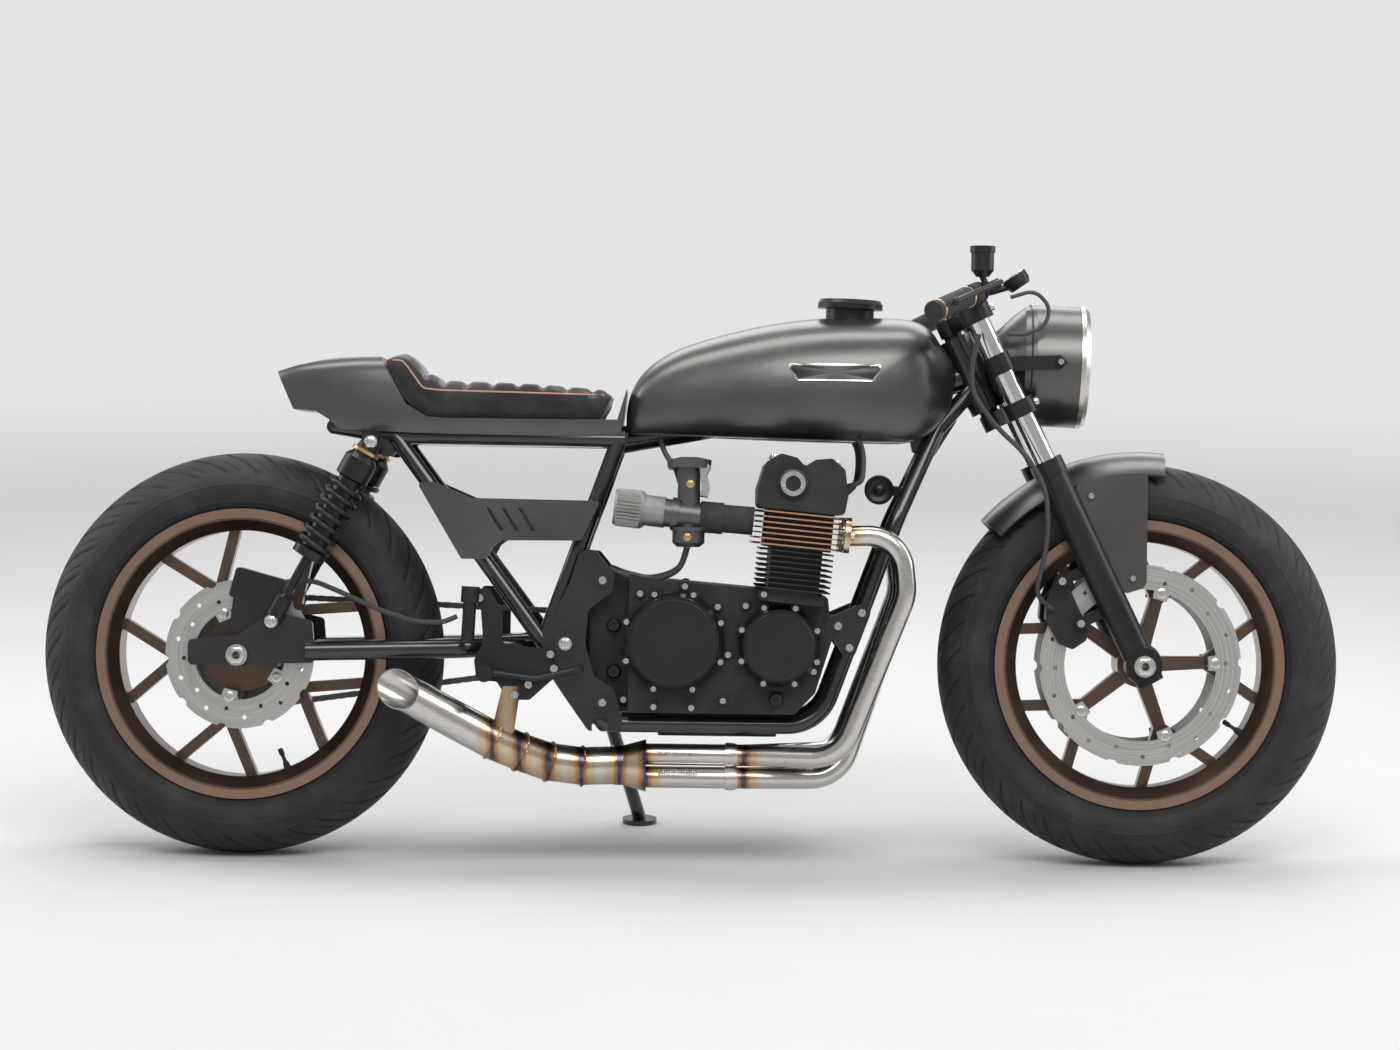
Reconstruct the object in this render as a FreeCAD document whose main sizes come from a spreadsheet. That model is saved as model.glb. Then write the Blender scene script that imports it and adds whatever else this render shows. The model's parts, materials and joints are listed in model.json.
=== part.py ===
"""Cafe racer motorcycle with an air-cooled inline four, standing on its side stand.

Every piece is drawn on the upright machine: X forward, Y to the rider's left, Z up, with the origin on
the floor midway between the axles. One stance then leans all of them onto the side stand together.
Side outlines are shares of the wheelbase, measured from that same origin.
"""
import FreeCAD, Part
import math
import os
import Sketcher
from types import SimpleNamespace
from FreeCAD import Placement, Rotation, Vector

SIZES = {
    # Stance and steering geometry.
    "wheelbase": 1430,
    "lean_angle": 8.5,
    "rake_angle": 26.2,
    "clamp_offset": 40,
    # Wheels, tyres and brake discs.
    "front_tyre_radius": 320,
    "front_tyre_width": 130,
    "rear_tyre_radius": 320,
    "rear_tyre_width": 150,
    "tyre_height": 89,
    "rim_lip": 12,
    "rim_depth": 35,
    "rim_edge": 6,
    "bead_width_front": 90,
    "bead_width_rear": 112,
    "seat_gap": 0.1,
    "spoke_width": 24,
    "arm_width": 17,
    "spoke_thickness": 34,
    "front_hub_radius": 36,
    "rear_hub_radius": 60,
    "hub_half_width": 52,
    "front_disc_radius": 160,
    "front_disc_inner": 121,
    "front_disc_bolt_radius": 119,
    "rear_disc_radius": 118,
    "rear_disc_inner": 72,
    "disc_boss_radius": 11,
    "front_boss_half_width": 59.5,
    "rear_boss_half_width": 77.5,
    "rear_disc_bolt_radius": 69,
    "disc_thickness": 5,
    "notch_radius": 9,
    "notch_depth": 5,
    "drill_radius": 3.5,
    "front_disc_y": 62,
    "rear_disc_y": 80,
    "axle_radius": 10,
    "axle_bore": 6,
    "running_gap": 0.05,
    "axle_nut_radius": 17,
    "axle_nut_length": 14,
    # Chain drive.
    "chain_pitch": 15.875,
    "chain_y": 92,
    "chain_width": 18,
    "chain_depth": 14,
    "sprocket_thickness": 7,
    # Front fork.
    "fork_half_spread": 100,
    "stanchion_radius": 17.5,
    "slider_radius": 24,
    "slider_top": 359,
    "slider_foot": 30,
    "axle_cap_radius": 29,
    "caliper_inner_y": 46,
    "caliper_outer_y": 86,
    "caliper_gap": 5,
    "caliper_rim_gap": 17,
    "lower_clamp_height": 451,
    "upper_clamp_height": 616,
    "clamp_thickness": 26,
    "stem_radius": 15,
    "stem_bore": 9,
    "head_radius": 28,
    "head_gap": 6,
    # Frame tubes.
    "spine_radius": 22,
    "downtube_radius": 13,
    "rail_radius": 12.5,
    "cradle_half_width": 118,
    "strut_half_width": 124,
    "rail_half_width": 84,
    "plate_thickness": 8,
    "pivot_bolt_radius": 10,
    "mount_bolt_radius": 7,
    # Swingarm and shocks.
    "arm_radius": 16,
    "arm_half_width": 112,
    "pivot_half_width": 70,
    "caliper_rear_y": 106,
    "rearset_gap": 8,
    "peg_length": 88,
    "peg_radius": 10,
    "shock_y": 136,
    "shock_radius": 27,
    "shock_tube_radius": 19,
    "spring_radius": 30,
    "spring_wire_radius": 4.5,
    "shock_rod_radius": 7,
    "shock_eye_radius": 13,
    "shock_eye_width": 24,
    # Engine.
    "crank_half_width": 150,
    "gearbox_half_width": 103,
    "sump_half_width": 90,
    "lug_half_width": 133,
    "lug_radius": 12,
    "chain_gap": 7,
    "cover_half_width": 196,
    "barrel_half_width": 205,
    "barrel_depth": 116,
    "barrel_core_depth": 80,
    "head_half_width": 212,
    "head_depth": 144,
    "head_core_depth": 104,
    "cam_cover_height": 87,
    "carb_radius": 22,
    "filter_radius": 30,
    "filter_neck": 38,
    "filter_length": 37,
    "fin_thickness": 2.4,
    "fin_pitch": 8.5,
    "clutch_cover_radius": 80,
    "generator_cover_radius": 64,
    # Exhaust.
    "header_radius": 16,
    "pipe_radius": 30,
    "pipe_wall": 2,
    "weld_width": 5,
    "weld_height": 1.2,
    "flange_thickness": 9,
    "header_spacing": 36,
    "collector_y": 86,
    "inner_port_y": 52,
    "outer_port_y": 168,
    "muffler_y": 150,
    # Tank, seat, tail and panels.
    "tank_half_width": 140,
    "cap_radius": 52,
    "seam_lip": 6,
    "seam_height": 7,
    "tail_half_width": 112,
    "panel_y": 128,
    "panel_thickness": 12,
    # Front end.
    "lamp_radius": 97,
    "lamp_ring_radius": 92,
    "fender_gap": 20,
    "fender_half_width": 72,
    "fender_thickness": 3,
    "fender_plate": 4,
    "bar_radius": 11,
    "grip_radius": 16.5,
    "bar_height": 643.5,
    "lever_ahead": 32,
    "cup_radius": 20,
    "gauge_radius": 21,
    "hose_radius": 4,
    # Side stand.
    "stand_radius": 11,
    "stand_y": 162,
    "stand_foot_y": 262,
    "stand_foot_lead": 55,
}

doc = FreeCAD.newDocument("motorcycle")
sheet = doc.addObject("Spreadsheet::Sheet", "sizes")
for row, (alias, value) in enumerate(SIZES.items(), start=1):
    sheet.set("A%d" % row, alias)
    sheet.set("B%d" % row, str(value))
    sheet.setAlias("B%d" % row, alias)
doc.recompute()
S = SimpleNamespace(**{alias: float(sheet.get(alias)) for alias in SIZES})

spoke_count = 5
rear_teeth = 36
front_spoke_angle = 2.2
rear_spoke_angle = 40.7
arm_spread_angle = 18
spoke_root_share = 0.85
spoke_fork_share = 0.6
barrel_width_share = 0.72
crown_drop_share = 0.125
side_drop_share = 0.2
flank_width_share = 0.93
roller_share = 0.32
seat_angle = 55
tooth_tip_share = 0.07
tooth_height_share = 0.26
chain_plate_share = 0.16
lamp_tilt_angle = 2
cap_tilt_angle = 2

pivot_shares = (-0.138, 0.241)
stand_pivot_shares = (-0.096, 0.160)
shock_top_shares = (-0.3545, 0.460)
shock_foot_shares = (-0.4615, 0.2615)
clutch_shares = (-0.019, 0.245)
generator_shares = (0.097, 0.242)
cap_shares = (0.173, 0.607)

axle_plate_shares = [(-0.555, 0.240), (-0.500, 0.246), (-0.462, 0.272), (-0.418, 0.262), (-0.414, 0.216),
                     (-0.470, 0.214), (-0.555, 0.212)]

front_teeth = 15
cylinder_tilt_angle = 5.2
barrel_fin_count = 8
head_fin_count = 7
filter_pleat_count = 32
roller_side_count = 6
cover_screw_count = 8
notch_count = 10
inner_hole_share = 0.36
outer_hole_share = 0.62
link_depth_shares = (1, 0.98, 0.62, 0.98)
spring_turn_count = 7
fin_corner_share = 0.1
filter_root_share = 0.93
cover_face_share = 0.84
neck_join_share = 0.35
slash_angle = 50.6
arc_share = 0.45
slash_place_share = 1.7
fender_start_angle = 83.5
fender_sweep_angle = 54.5

axle_share = 0.2237762238
rear_hold_share = -0.46
front_hold_share = 0.28
front_sprocket_shares = (-0.0937, 0.2448)
lamp_shares = (0.4280, 0.5552)
carb_rear_shares = (-0.0308, 0.3867)
carb_front_shares = (0.0084, 0.3825)
carb_tower_shares = (-0.0042, 0.3846)
front_lug_shares = (0.1615, 0.2643)
header_run_shares = (0.0000, 0.1189)
cylinder_foot_shares = (0.1105, 0.3007)
gearbox_split_share = -0.0685
chain_split_share = -0.0580
spine_shares = [(0.2308, 0.5189), (0.0839, 0.4979), (-0.0825, 0.4671)]
engine_bolt_shares = [(-0.0965, 0.1769), (-0.0979, 0.3112)]
bracket_bolt_shares = [(0.1874, 0.2790), (0.1741, 0.2406)]
front_bracket_shares = [(0.1524, 0.2741), (0.1874, 0.2895), (0.1979, 0.2797), (0.1804, 0.2322),
                        (0.1678, 0.2308), (0.1538, 0.2531)]
shock_gusset_shares = [(-0.3706, 0.4825), (-0.3343, 0.4825), (-0.3077, 0.4671), (-0.3343, 0.4448),
                       (-0.3636, 0.4503)]
head_gusset_shares = [(0.2825, 0.5182), (0.2944, 0.4937), (0.2657, 0.4476), (0.2448, 0.4580),
                      (0.2308, 0.5189)]
pivot_plate_shares = [(-0.1231, 0.3441), (-0.1049, 0.3427), (-0.0846, 0.3182), (-0.0867, 0.2993),
                      (-0.1133, 0.2783), (-0.1161, 0.2399), (-0.1063, 0.2063), (-0.0839, 0.1916),
                      (-0.0741, 0.1580), (-0.0783, 0.1455), (-0.1119, 0.1455), (-0.1399, 0.1846),
                      (-0.1601, 0.2147), (-0.1636, 0.2448), (-0.1497, 0.2762), (-0.1343, 0.3077)]
crankcase_shares = [(-0.1035, 0.3203), (-0.0895, 0.3231), (-0.0420, 0.3133), (0.0490, 0.3059),
                    (0.1497, 0.2967), (0.1552, 0.2497), (0.1371, 0.1902), (0.1147, 0.1664),
                    (-0.1049, 0.1664), (-0.1133, 0.1832), (-0.1119, 0.2098),
                    (-0.1119, 0.2727)]
sump_shares = [(-0.0420, 0.1713), (0.1049, 0.1713), (0.0951, 0.1399), (-0.0350, 0.1399)]
panel_shares = [(-0.3035, 0.4161), (-0.2853, 0.4175), (-0.2720, 0.4119), (-0.2441, 0.4000),
                (-0.1014, 0.3986), (-0.1224, 0.3545), (-0.2098, 0.3538), (-0.2182, 0.3476),
                (-0.2259, 0.3329), (-0.2538, 0.3329)]
seat_pan_shares = [(-0.3181, 0.4594), (-0.3181, 0.4636), (-0.1021, 0.4636), (-0.1021, 0.4594)]
slot_shares = [(-0.2280, 0.3895), (-0.2112, 0.3895), (-0.1930, 0.3895)]
seat_shares = [(-0.3469, 0.5559), (-0.3392, 0.5601), (-0.3266, 0.5608), (-0.3133, 0.5538),
               (-0.3014, 0.5406), (-0.2902, 0.5343), (-0.2769, 0.5280), (-0.2399, 0.5273),
               (-0.1615, 0.5245), (-0.0860, 0.5189), (-0.0972, 0.4890), (-0.2727, 0.4883),
               (-0.2951, 0.4897), (-0.3179, 0.5037)]
tail_shares = [(-0.4643, 0.5385), (-0.4420, 0.5455), (-0.4028, 0.5538), (-0.3490, 0.5566),
               (-0.3182, 0.5035), (-0.2951, 0.4895), (-0.2727, 0.4881), (-0.0846, 0.4888),
               (-0.0748, 0.5224), (-0.0811, 0.4692), (-0.2727, 0.4706), (-0.3510, 0.4727),
               (-0.3937, 0.4748), (-0.4042, 0.4853), (-0.4189, 0.4944), (-0.4448, 0.4965)]
tank_tunnel_shares = [(-0.0909, 0.4196), (0.3217, 0.4196), (0.3217, 0.6014), (0.2587, 0.5790),
                      (0.2462, 0.5476), (0.0839, 0.5189), (-0.0909, 0.4909)]
seam_shares = [(-0.2972, 0.5385), (-0.2776, 0.5287), (-0.2524, 0.5283), (-0.2238, 0.5276),
               (-0.1951, 0.5269), (-0.1676, 0.5259), (-0.1406, 0.5245), (-0.1126, 0.5227)]
rearset_shares = [(-0.2434, 0.3007), (-0.2224, 0.3007), (-0.2070, 0.2741), (-0.2070, 0.2413),
                  (-0.1832, 0.2378), (-0.1566, 0.2350), (-0.1448, 0.2077), (-0.1762, 0.1790),
                  (-0.2000, 0.1790), (-0.2126, 0.1986), (-0.2350, 0.2000), (-0.2378, 0.2224),
                  (-0.2280, 0.2413), (-0.2308, 0.2762)]
cam_cover_shares = [(-0.47, 0), (0.47, 0), (0.49, 0.35), (0.43, 0.82), (0.28, 1), (0.1, 0.95), (0, 0.8),
                    (-0.1, 0.95), (-0.28, 1), (-0.43, 0.82), (-0.49, 0.35)]
lobster_shares = [(-0.0769, 0.1063, 0.00), (-0.1189, 0.1049, 0.12), (-0.1552, 0.1098, 0.35),
                  (-0.1867, 0.1210, 0.62), (-0.2161, 0.1336, 0.85), (-0.2888, 0.1720, 1.00)]
tank_stations_shares = [(-0.0748, 0.4783, 0.5007, 0.443), (-0.0720, 0.4748, 0.5154, 0.500),
                        (-0.0664, 0.4734, 0.5294, 0.550), (-0.0497, 0.4734, 0.5503, 0.614),
                        (-0.0273, 0.4727, 0.5657, 0.679), (0.0063, 0.4720, 0.5790, 0.757),
                        (0.0622, 0.4706, 0.5944, 0.886), (0.1182, 0.4692, 0.6042, 0.979),
                        (0.1741, 0.4682, 0.6077, 1.000), (0.2091, 0.4678, 0.6077, 0.971),
                        (0.2371, 0.4685, 0.6063, 0.893), (0.2594, 0.4762, 0.5979, 0.750),
                        (0.2727, 0.4881, 0.5846, 0.614), (0.2832, 0.5035, 0.5706, 0.486),
                        (0.2881, 0.5175, 0.5615, 0.379), (0.2916, 0.5329, 0.5510, 0.257)]
tank_section_shares = [(0.70, 0), (0.88, 0.07), (0.985, 0.24), (1, 0.42), (0.95, 0.62), (0.8, 0.81),
                       (0.45, 0.95), (0, 1)]
tail_stations_shares = [(-0.4657, 0.4895, 0.5420, 0.536), (-0.4476, 0.4825, 0.5497, 0.643),
                        (-0.4196, 0.4699, 0.5566, 0.768), (-0.3846, 0.4657, 0.5608, 0.866),
                        (-0.3497, 0.4643, 0.5622, 0.929), (-0.2797, 0.4643, 0.5636, 1.000),
                        (-0.2098, 0.4643, 0.5636, 0.982), (-0.1399, 0.4643, 0.5636, 0.938),
                        (-0.0699, 0.4643, 0.5636, 0.893)]
tail_section_shares = [(0.86, 0), (0.96, 0.1), (1, 0.3), (0.97, 0.6), (0.86, 0.85), (0.5, 0.97), (0, 1)]
seat_stations_shares = [(-0.3566, 0.4755, 0.5678, 0.857), (-0.3287, 0.4755, 0.5678, 0.929),
                        (-0.3077, 0.4755, 0.5594, 0.964), (-0.2797, 0.4755, 0.5371, 1.000),
                        (-0.2098, 0.4755, 0.5357, 1.000), (-0.1399, 0.4755, 0.5336, 0.955),
                        (-0.0839, 0.4755, 0.5287, 0.893), (-0.0699, 0.4755, 0.5273, 0.875)]
seat_section_shares = [(0.9, 0), (0.97, 0.2), (0.985, 0.45), (0.95, 0.7), (0.84, 0.88), (0.5, 0.97), (0, 1)]

bar_shares = [(0.18, 1.18), (0.08, 2.05), (-0.7, 3.18)]
gauge_tilt_angle = 35
caliper_shares = [(-0.325, 0.550), (-0.312, 1.188), (-0.400, 1.150), (-0.575, 0.975), (-0.662, 0.825), (-0.650, 0.550), (-0.550, 0.438), (-0.388, 0.463)]
caliper_bolt_shares = [(-0.375, 0.644), (-0.362, 1.100)]
fender_plate_shares = [(0.4231, 0.4234), (0.4627, 0.4352), (0.5051, 0.4378), (0.5049, 0.3154), (0.5007, 0.3091),
                       (0.4804, 0.3028)]
fender_bolt_shares = [(0.4420, 0.4112), (0.4895, 0.3203)]
panel_post_shares = [(-0.2462, 0.3538), (-0.1189, 0.3776)]
hanger_shares = [(-0.2060, 0.1940), (-0.1860, 0.1940), (-0.1930, 0.1420), (-0.2180, 0.1420)]
hanger_bolt_shares = (-0.1925, 0.1850)
rearset_bolt_shares = [(-0.1538, 0.2294), (-0.1497, 0.2140), (-0.2322, 0.2902), (-0.1776, 0.1958)]
lamp_bolt_shares = (0.4049, 0.5587)
gauge_shares = (0.3650, 0.6448)
cradle_shares = [(0.271, 0.483), (0.225, 0.381), (0.142, 0.153), (-0.098, 0.153), (-0.164, 0.238),
                 (-0.083, 0.465)]
stay_shares = [(-0.161, 0.240), (-0.331, 0.468)]
rail_shares = [(-0.076, 0.467), (-0.330, 0.468), (-0.400, 0.478)]
brace_shares = [(-0.082, 0.468), (-0.095, 0.153)]
arm_shares = [(-0.425, 0.229), (-0.255, 0.234)]
arm_brace_shares = (-0.222, 0.237)
crest_shares = (0.229, 0.3655)
knee_shares = (0.236, 0.300)
drop_share = 0.166
merge_share = 0.060
collector_share = -0.048
peg_shares = (-0.2238, 0.2091)
pedal_bend_shares = (-0.1700, 0.2020)
pedal_toe_shares = (-0.1230, 0.2130)
pump_low_shares = (-0.2448, 0.2434)
pump_high_shares = (-0.2420, 0.3028)
rear_caliper_shares = (-0.4811, 0.2944)
front_hose_shares = [(0.3126, 0.5874, 1.36), (0.3049, 0.5503, 1.34), (0.3063, 0.5224, 1.34),
                     (0.3322, 0.4860, 1.34), (0.3664, 0.4559, 1.34), (0.3895, 0.4175, 1.34),
                     (0.3923, 0.3615, 1.30), (0.3797, 0.3007, 1.10), (0.4000, 0.2853, 0.98)]
rear_hose_shares = [(-0.4476, 0.3049, 1.06), (-0.4189, 0.3070, 1.08), (-0.3881, 0.2951, 1.20), (-0.3434, 0.2755, 1.35),
                    (-0.3035, 0.2629, 1.50), (-0.2727, 0.2629, 1.60), (-0.2566, 0.2699, 1.62)]
cable_shares = [(0.3483, 0.6294), (0.3755, 0.6378), (0.3923, 0.6189), (0.3874, 0.5986),
                (0.3650, 0.5881), (0.3469, 0.5888)]

UP = Vector(0, 0, 1)
LEFT = Vector(0, 1, 0)
AHEAD = Vector(1, 0, 0)
CENTRE = Vector(0, 0, 0)
UPRIGHT = Placement()
front_axle_point = Vector(S.wheelbase / 2, 0, S.front_tyre_radius)
rear_axle_point = Vector(-S.wheelbase / 2, 0, S.rear_tyre_radius)
FRONT_WHEEL = Placement(front_axle_point, Rotation())
REAR_WHEEL = Placement(rear_axle_point, Rotation())
FORK = Placement(front_axle_point, Rotation(LEFT, -S.rake_angle))
pieces = []


def at(x_share, z_share, y=0):
    """Point of the side view, in shares of the wheelbase; it rises with the wheel that it is nearer to."""
    blend = (x_share - rear_hold_share) / (front_hold_share - rear_hold_share)
    blend = min(max(blend, 0), 1)
    axle_line = S.rear_tyre_radius * (1 - blend) + S.front_tyre_radius * blend
    return Vector(x_share * S.wheelbase, y, axle_line + (z_share - axle_share) * S.wheelbase)


CYLINDERS = Placement(at(*cylinder_foot_shares), Rotation(LEFT, cylinder_tilt_angle))


def keep(thing, label, place=UPRIGHT):
    """Name a finished sub-part and note its own place on the upright machine."""
    thing.Label = label
    pieces.append((thing, place))
    return thing


def solid(label, shapes, place=UPRIGHT):
    """Sub-part from shapes: one solid as it is, or several that do not touch."""
    thing = doc.addObject("Part::Feature", label)
    thing.Shape = shapes[0] if len(shapes) == 1 else Part.makeCompound(shapes)
    return keep(thing, label, place)


def fused(shapes):
    """One shape from overlapping ones."""
    return shapes[0].multiFuse(shapes[1:]).removeSplitter()


def mirrored(shape):
    """The same shape on the other side of the machine."""
    return shape.mirror(CENTRE, LEFT)


def both(shape):
    """A shape and its mirror image."""
    return [shape, mirrored(shape)]


def rod(start, end, radius, bore=0):
    """Round bar, or tube, from one point to another."""
    run = end - start
    bar = Part.makeCylinder(radius, run.Length, start, run)
    if bore:
        bar = bar.cut(Part.makeCylinder(bore, run.Length, start, run))
    return bar


def route(points, bends):
    """Wire through points: straight runs joined by tangent arcs of the given radii."""
    edges = []
    start = points[0]
    for before, corner, after, radius in zip(points, points[1:], points[2:], bends):
        back = (before - corner).normalize()
        onward = (after - corner).normalize()
        half = back.getAngle(onward) / 2
        reach = radius / math.tan(half)
        middle = corner + (back + onward).normalize() * (radius / math.sin(half) - radius)
        edges.append(Part.LineSegment(start, corner + back * reach).toShape())
        edges.append(Part.Arc(corner + back * reach, middle, corner + onward * reach).toShape())
        start = corner + onward * reach
    edges.append(Part.LineSegment(start, points[-1]).toShape())
    return Part.Wire(edges)


def pipe(points, bends, radius):
    """Bent round tube along a route."""
    ring = Part.Wire(Part.makeCircle(radius, points[0], points[1] - points[0]))
    return route(points, bends).makePipeShell([ring], True, False)


def rounded(points, radius):
    """Closed outline with each corner rounded."""
    count = len(points)
    edges = []
    ends = []
    for index, corner in enumerate(points):
        back = (points[index - 1] - corner).normalize()
        onward = (points[(index + 1) % count] - corner).normalize()
        half = back.getAngle(onward) / 2
        reach = radius / math.tan(half)
        middle = corner + (back + onward).normalize() * (radius / math.sin(half) - radius)
        ends.append((corner + back * reach, middle, corner + onward * reach))
    for index, (enter, middle, leave) in enumerate(ends):
        edges.append(Part.LineSegment(ends[index - 1][2], enter).toShape())
        edges.append(Part.Arc(enter, middle, leave).toShape())
    return Part.Wire(edges)


def slab(points, y_start, y_end, radius=0):
    """Flat piece cut along a side outline, between two planes across the machine."""
    flat = [Vector(point.x, y_start, point.z) for point in points]
    wire = rounded(flat, radius) if radius else Part.makePolygon(flat + flat[:1])
    return Part.Face(wire).extrude(Vector(0, y_end - y_start, 0))


def turned(profile, base=CENTRE, axis=UP):
    """Solid of revolution: the profile lists (radius, height) along the axis."""
    points = [Vector(radius, 0, height) for radius, height in profile]
    shape = Part.Face(Part.makePolygon(points + points[:1])).revolve(CENTRE, UP, 360)
    return shape.transformed(Placement(base, Rotation(UP, axis)).toMatrix(), True)


def sketch_in(body, role, name, offset=0):
    """Empty sketch on one of the body's own planes, moved along its normal."""
    flat = body.newObject("Sketcher::SketchObject", name)
    plane = [feature for feature in body.Origin.OriginFeatures if feature.Role == role][0]
    flat.AttachmentSupport = (plane, [""])
    flat.MapMode = "FlatFace"
    flat.AttachmentOffset = Placement(Vector(0, 0, offset), Rotation())
    return flat


def draw_polygon(flat, points):
    """Closed outline of straight lines in a sketch, from (across, up) pairs."""
    corners = [Vector(across, up, 0) for across, up in points]
    for start, end in zip(corners, corners[1:] + corners[:1]):
        flat.addGeometry(Part.LineSegment(start, end), False)


def draw_circle(flat, across, up, alias):
    """Circle in a sketch whose radius is bound to a cell."""
    centre = Vector(across, up, 0)
    index = flat.addGeometry(Part.Circle(centre, UP, getattr(S, alias)), False)
    number = flat.addConstraint(Sketcher.Constraint("Radius", index, getattr(S, alias)))
    flat.setExpression("Constraints[%d]" % number, "sizes." + alias)


def pad(body, flat, name, expression, symmetric=False, towards_left=False):
    """Pad of a sketch on the XZ plane, whose normal points right."""
    feature = body.newObject("PartDesign::Pad", name)
    feature.Profile = flat
    feature.setExpression("Length", expression)
    if symmetric:
        feature.SideType = "Symmetric"
    feature.Reversed = towards_left
    return feature


def ring_of(body, features, name, count):
    """Polar pattern of features about the wheel axis."""
    axis = [feature for feature in body.Origin.OriginFeatures if feature.Role == "Y_Axis"][0]
    pattern = body.newObject("PartDesign::PolarPattern", name)
    pattern.Originals = features
    pattern.Axis = (axis, [""])
    pattern.Angle = 360
    pattern.Occurrences = count
    body.Tip = pattern
    return pattern


def cast_wheel(label, place, rim_radius, spoke_angle, hub, bead, boss_radius, boss_half):
    """Cast wheel: hub, five forked spokes and a dropped-centre rim, about the Y axis."""
    body = doc.addObject("PartDesign::Body", label)
    barrel_radius = rim_radius - S.rim_depth
    core = sketch_in(body, "XZ_Plane", label + "_core")
    draw_circle(core, 0, 0, hub)
    pad(body, core, label + "_hub", "2 * sizes.hub_half_width", symmetric=True)
    spoke = sketch_in(body, "XZ_Plane", label + "_spoke")
    root = getattr(S, hub) * spoke_root_share
    fork = barrel_radius * spoke_fork_share
    half = S.spoke_width / 2
    draw_polygon(spoke, [(root, -half), (fork, -half * 0.8), (fork, half * 0.8), (root, half)])
    parts = [pad(body, spoke, label + "_spoke_pad", "sizes.spoke_thickness", symmetric=True)]
    reach = barrel_radius + S.rim_edge / 2
    for side in (-1, 1):
        arm = sketch_in(body, "XZ_Plane", "%s_arm_%d" % (label, side + 2))
        angle = math.radians(arm_spread_angle) * side
        tip = Vector(reach * math.cos(angle), reach * math.sin(angle), 0)
        start = Vector(fork - half, 0, 0)
        across = (tip - start).normalize().cross(UP) * (S.arm_width / 2)
        corners = [start - across, tip - across, tip + across, start + across]
        draw_polygon(arm, [(corner.x, corner.y) for corner in corners])
        parts.append(pad(body, arm, "%s_arm_pad_%d" % (label, side + 2),
                         "sizes.spoke_thickness * 0.9", symmetric=True))
    boss = sketch_in(body, "XZ_Plane", label + "_boss")
    draw_circle(boss, getattr(S, boss_radius), 0, "disc_boss_radius")
    parts.append(pad(body, boss, label + "_boss_pad", "2 * sizes." + boss_half, symmetric=True))
    ring_of(body, parts, label + "_spokes", spoke_count)
    rim = sketch_in(body, "XY_Plane", label + "_rim")
    bead = getattr(S, bead) / 2
    lip = rim_radius - S.rim_lip
    well = barrel_radius + S.rim_edge
    barrel = bead * barrel_width_share
    draw_polygon(rim, [
        (rim_radius, bead), (lip, bead), (lip, bead * 0.75), (well, bead * 0.45), (well, -bead * 0.45),
        (lip, -bead * 0.75), (lip, -bead), (rim_radius, -bead), (rim_radius, -bead - S.rim_edge),
        (lip - S.rim_edge, -bead - S.rim_edge), (barrel_radius, -barrel),
        (barrel_radius, barrel), (lip - S.rim_edge, bead + S.rim_edge),
        (rim_radius, bead + S.rim_edge),
    ])
    turn = body.newObject("PartDesign::Revolution", label + "_rim_turn")
    turn.Profile = rim
    turn.ReferenceAxis = (rim, ["V_Axis"])
    turn.Angle = 360
    bore = sketch_in(body, "XZ_Plane", label + "_bore")
    draw_circle(bore, 0, 0, "axle_radius")
    bore.setExpression("Constraints[0]", "sizes.axle_radius + sizes.running_gap")
    cut = body.newObject("PartDesign::Pocket", label + "_bore_cut")
    cut.Profile = bore
    cut.SideType = "Symmetric"
    cut.setExpression("Length", "4 * sizes.hub_half_width")
    body.Tip = cut
    turned_place = Placement(place.Base, Rotation(LEFT, -spoke_angle))
    return keep(body, label, turned_place)


def tyre(label, place, radius, width, bead):
    """Road tyre between the rim's lips, about the Y axis."""
    half = width / 2
    inner = bead / 2 - S.seat_gap
    rim_radius = radius - S.tyre_height
    seat = rim_radius - S.rim_lip + S.seat_gap
    crown = radius * crown_drop_share
    side = radius * side_drop_share
    flank = half * flank_width_share
    tread = Part.Arc(Vector(radius - crown, -flank, 0), Vector(radius, 0, 0), Vector(radius - crown, flank, 0))
    edges = [tread.toShape()]
    for sign in (-1, 1):
        shoulder = Vector(radius - crown, sign * flank, 0)
        lip = Vector(rim_radius + S.seat_gap, sign * inner, 0)
        edges.append(Part.Arc(shoulder, Vector(radius - side, sign * half, 0), lip).toShape())
        edges.append(Part.LineSegment(lip, Vector(seat, sign * inner, 0)).toShape())
    edges.append(Part.LineSegment(Vector(seat, -inner, 0), Vector(seat, inner, 0)).toShape())
    wire = Part.Wire(Part.__sortEdges__(edges))
    return solid(label, [Part.Face(wire).revolve(CENTRE, LEFT, 360)], place)


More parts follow.
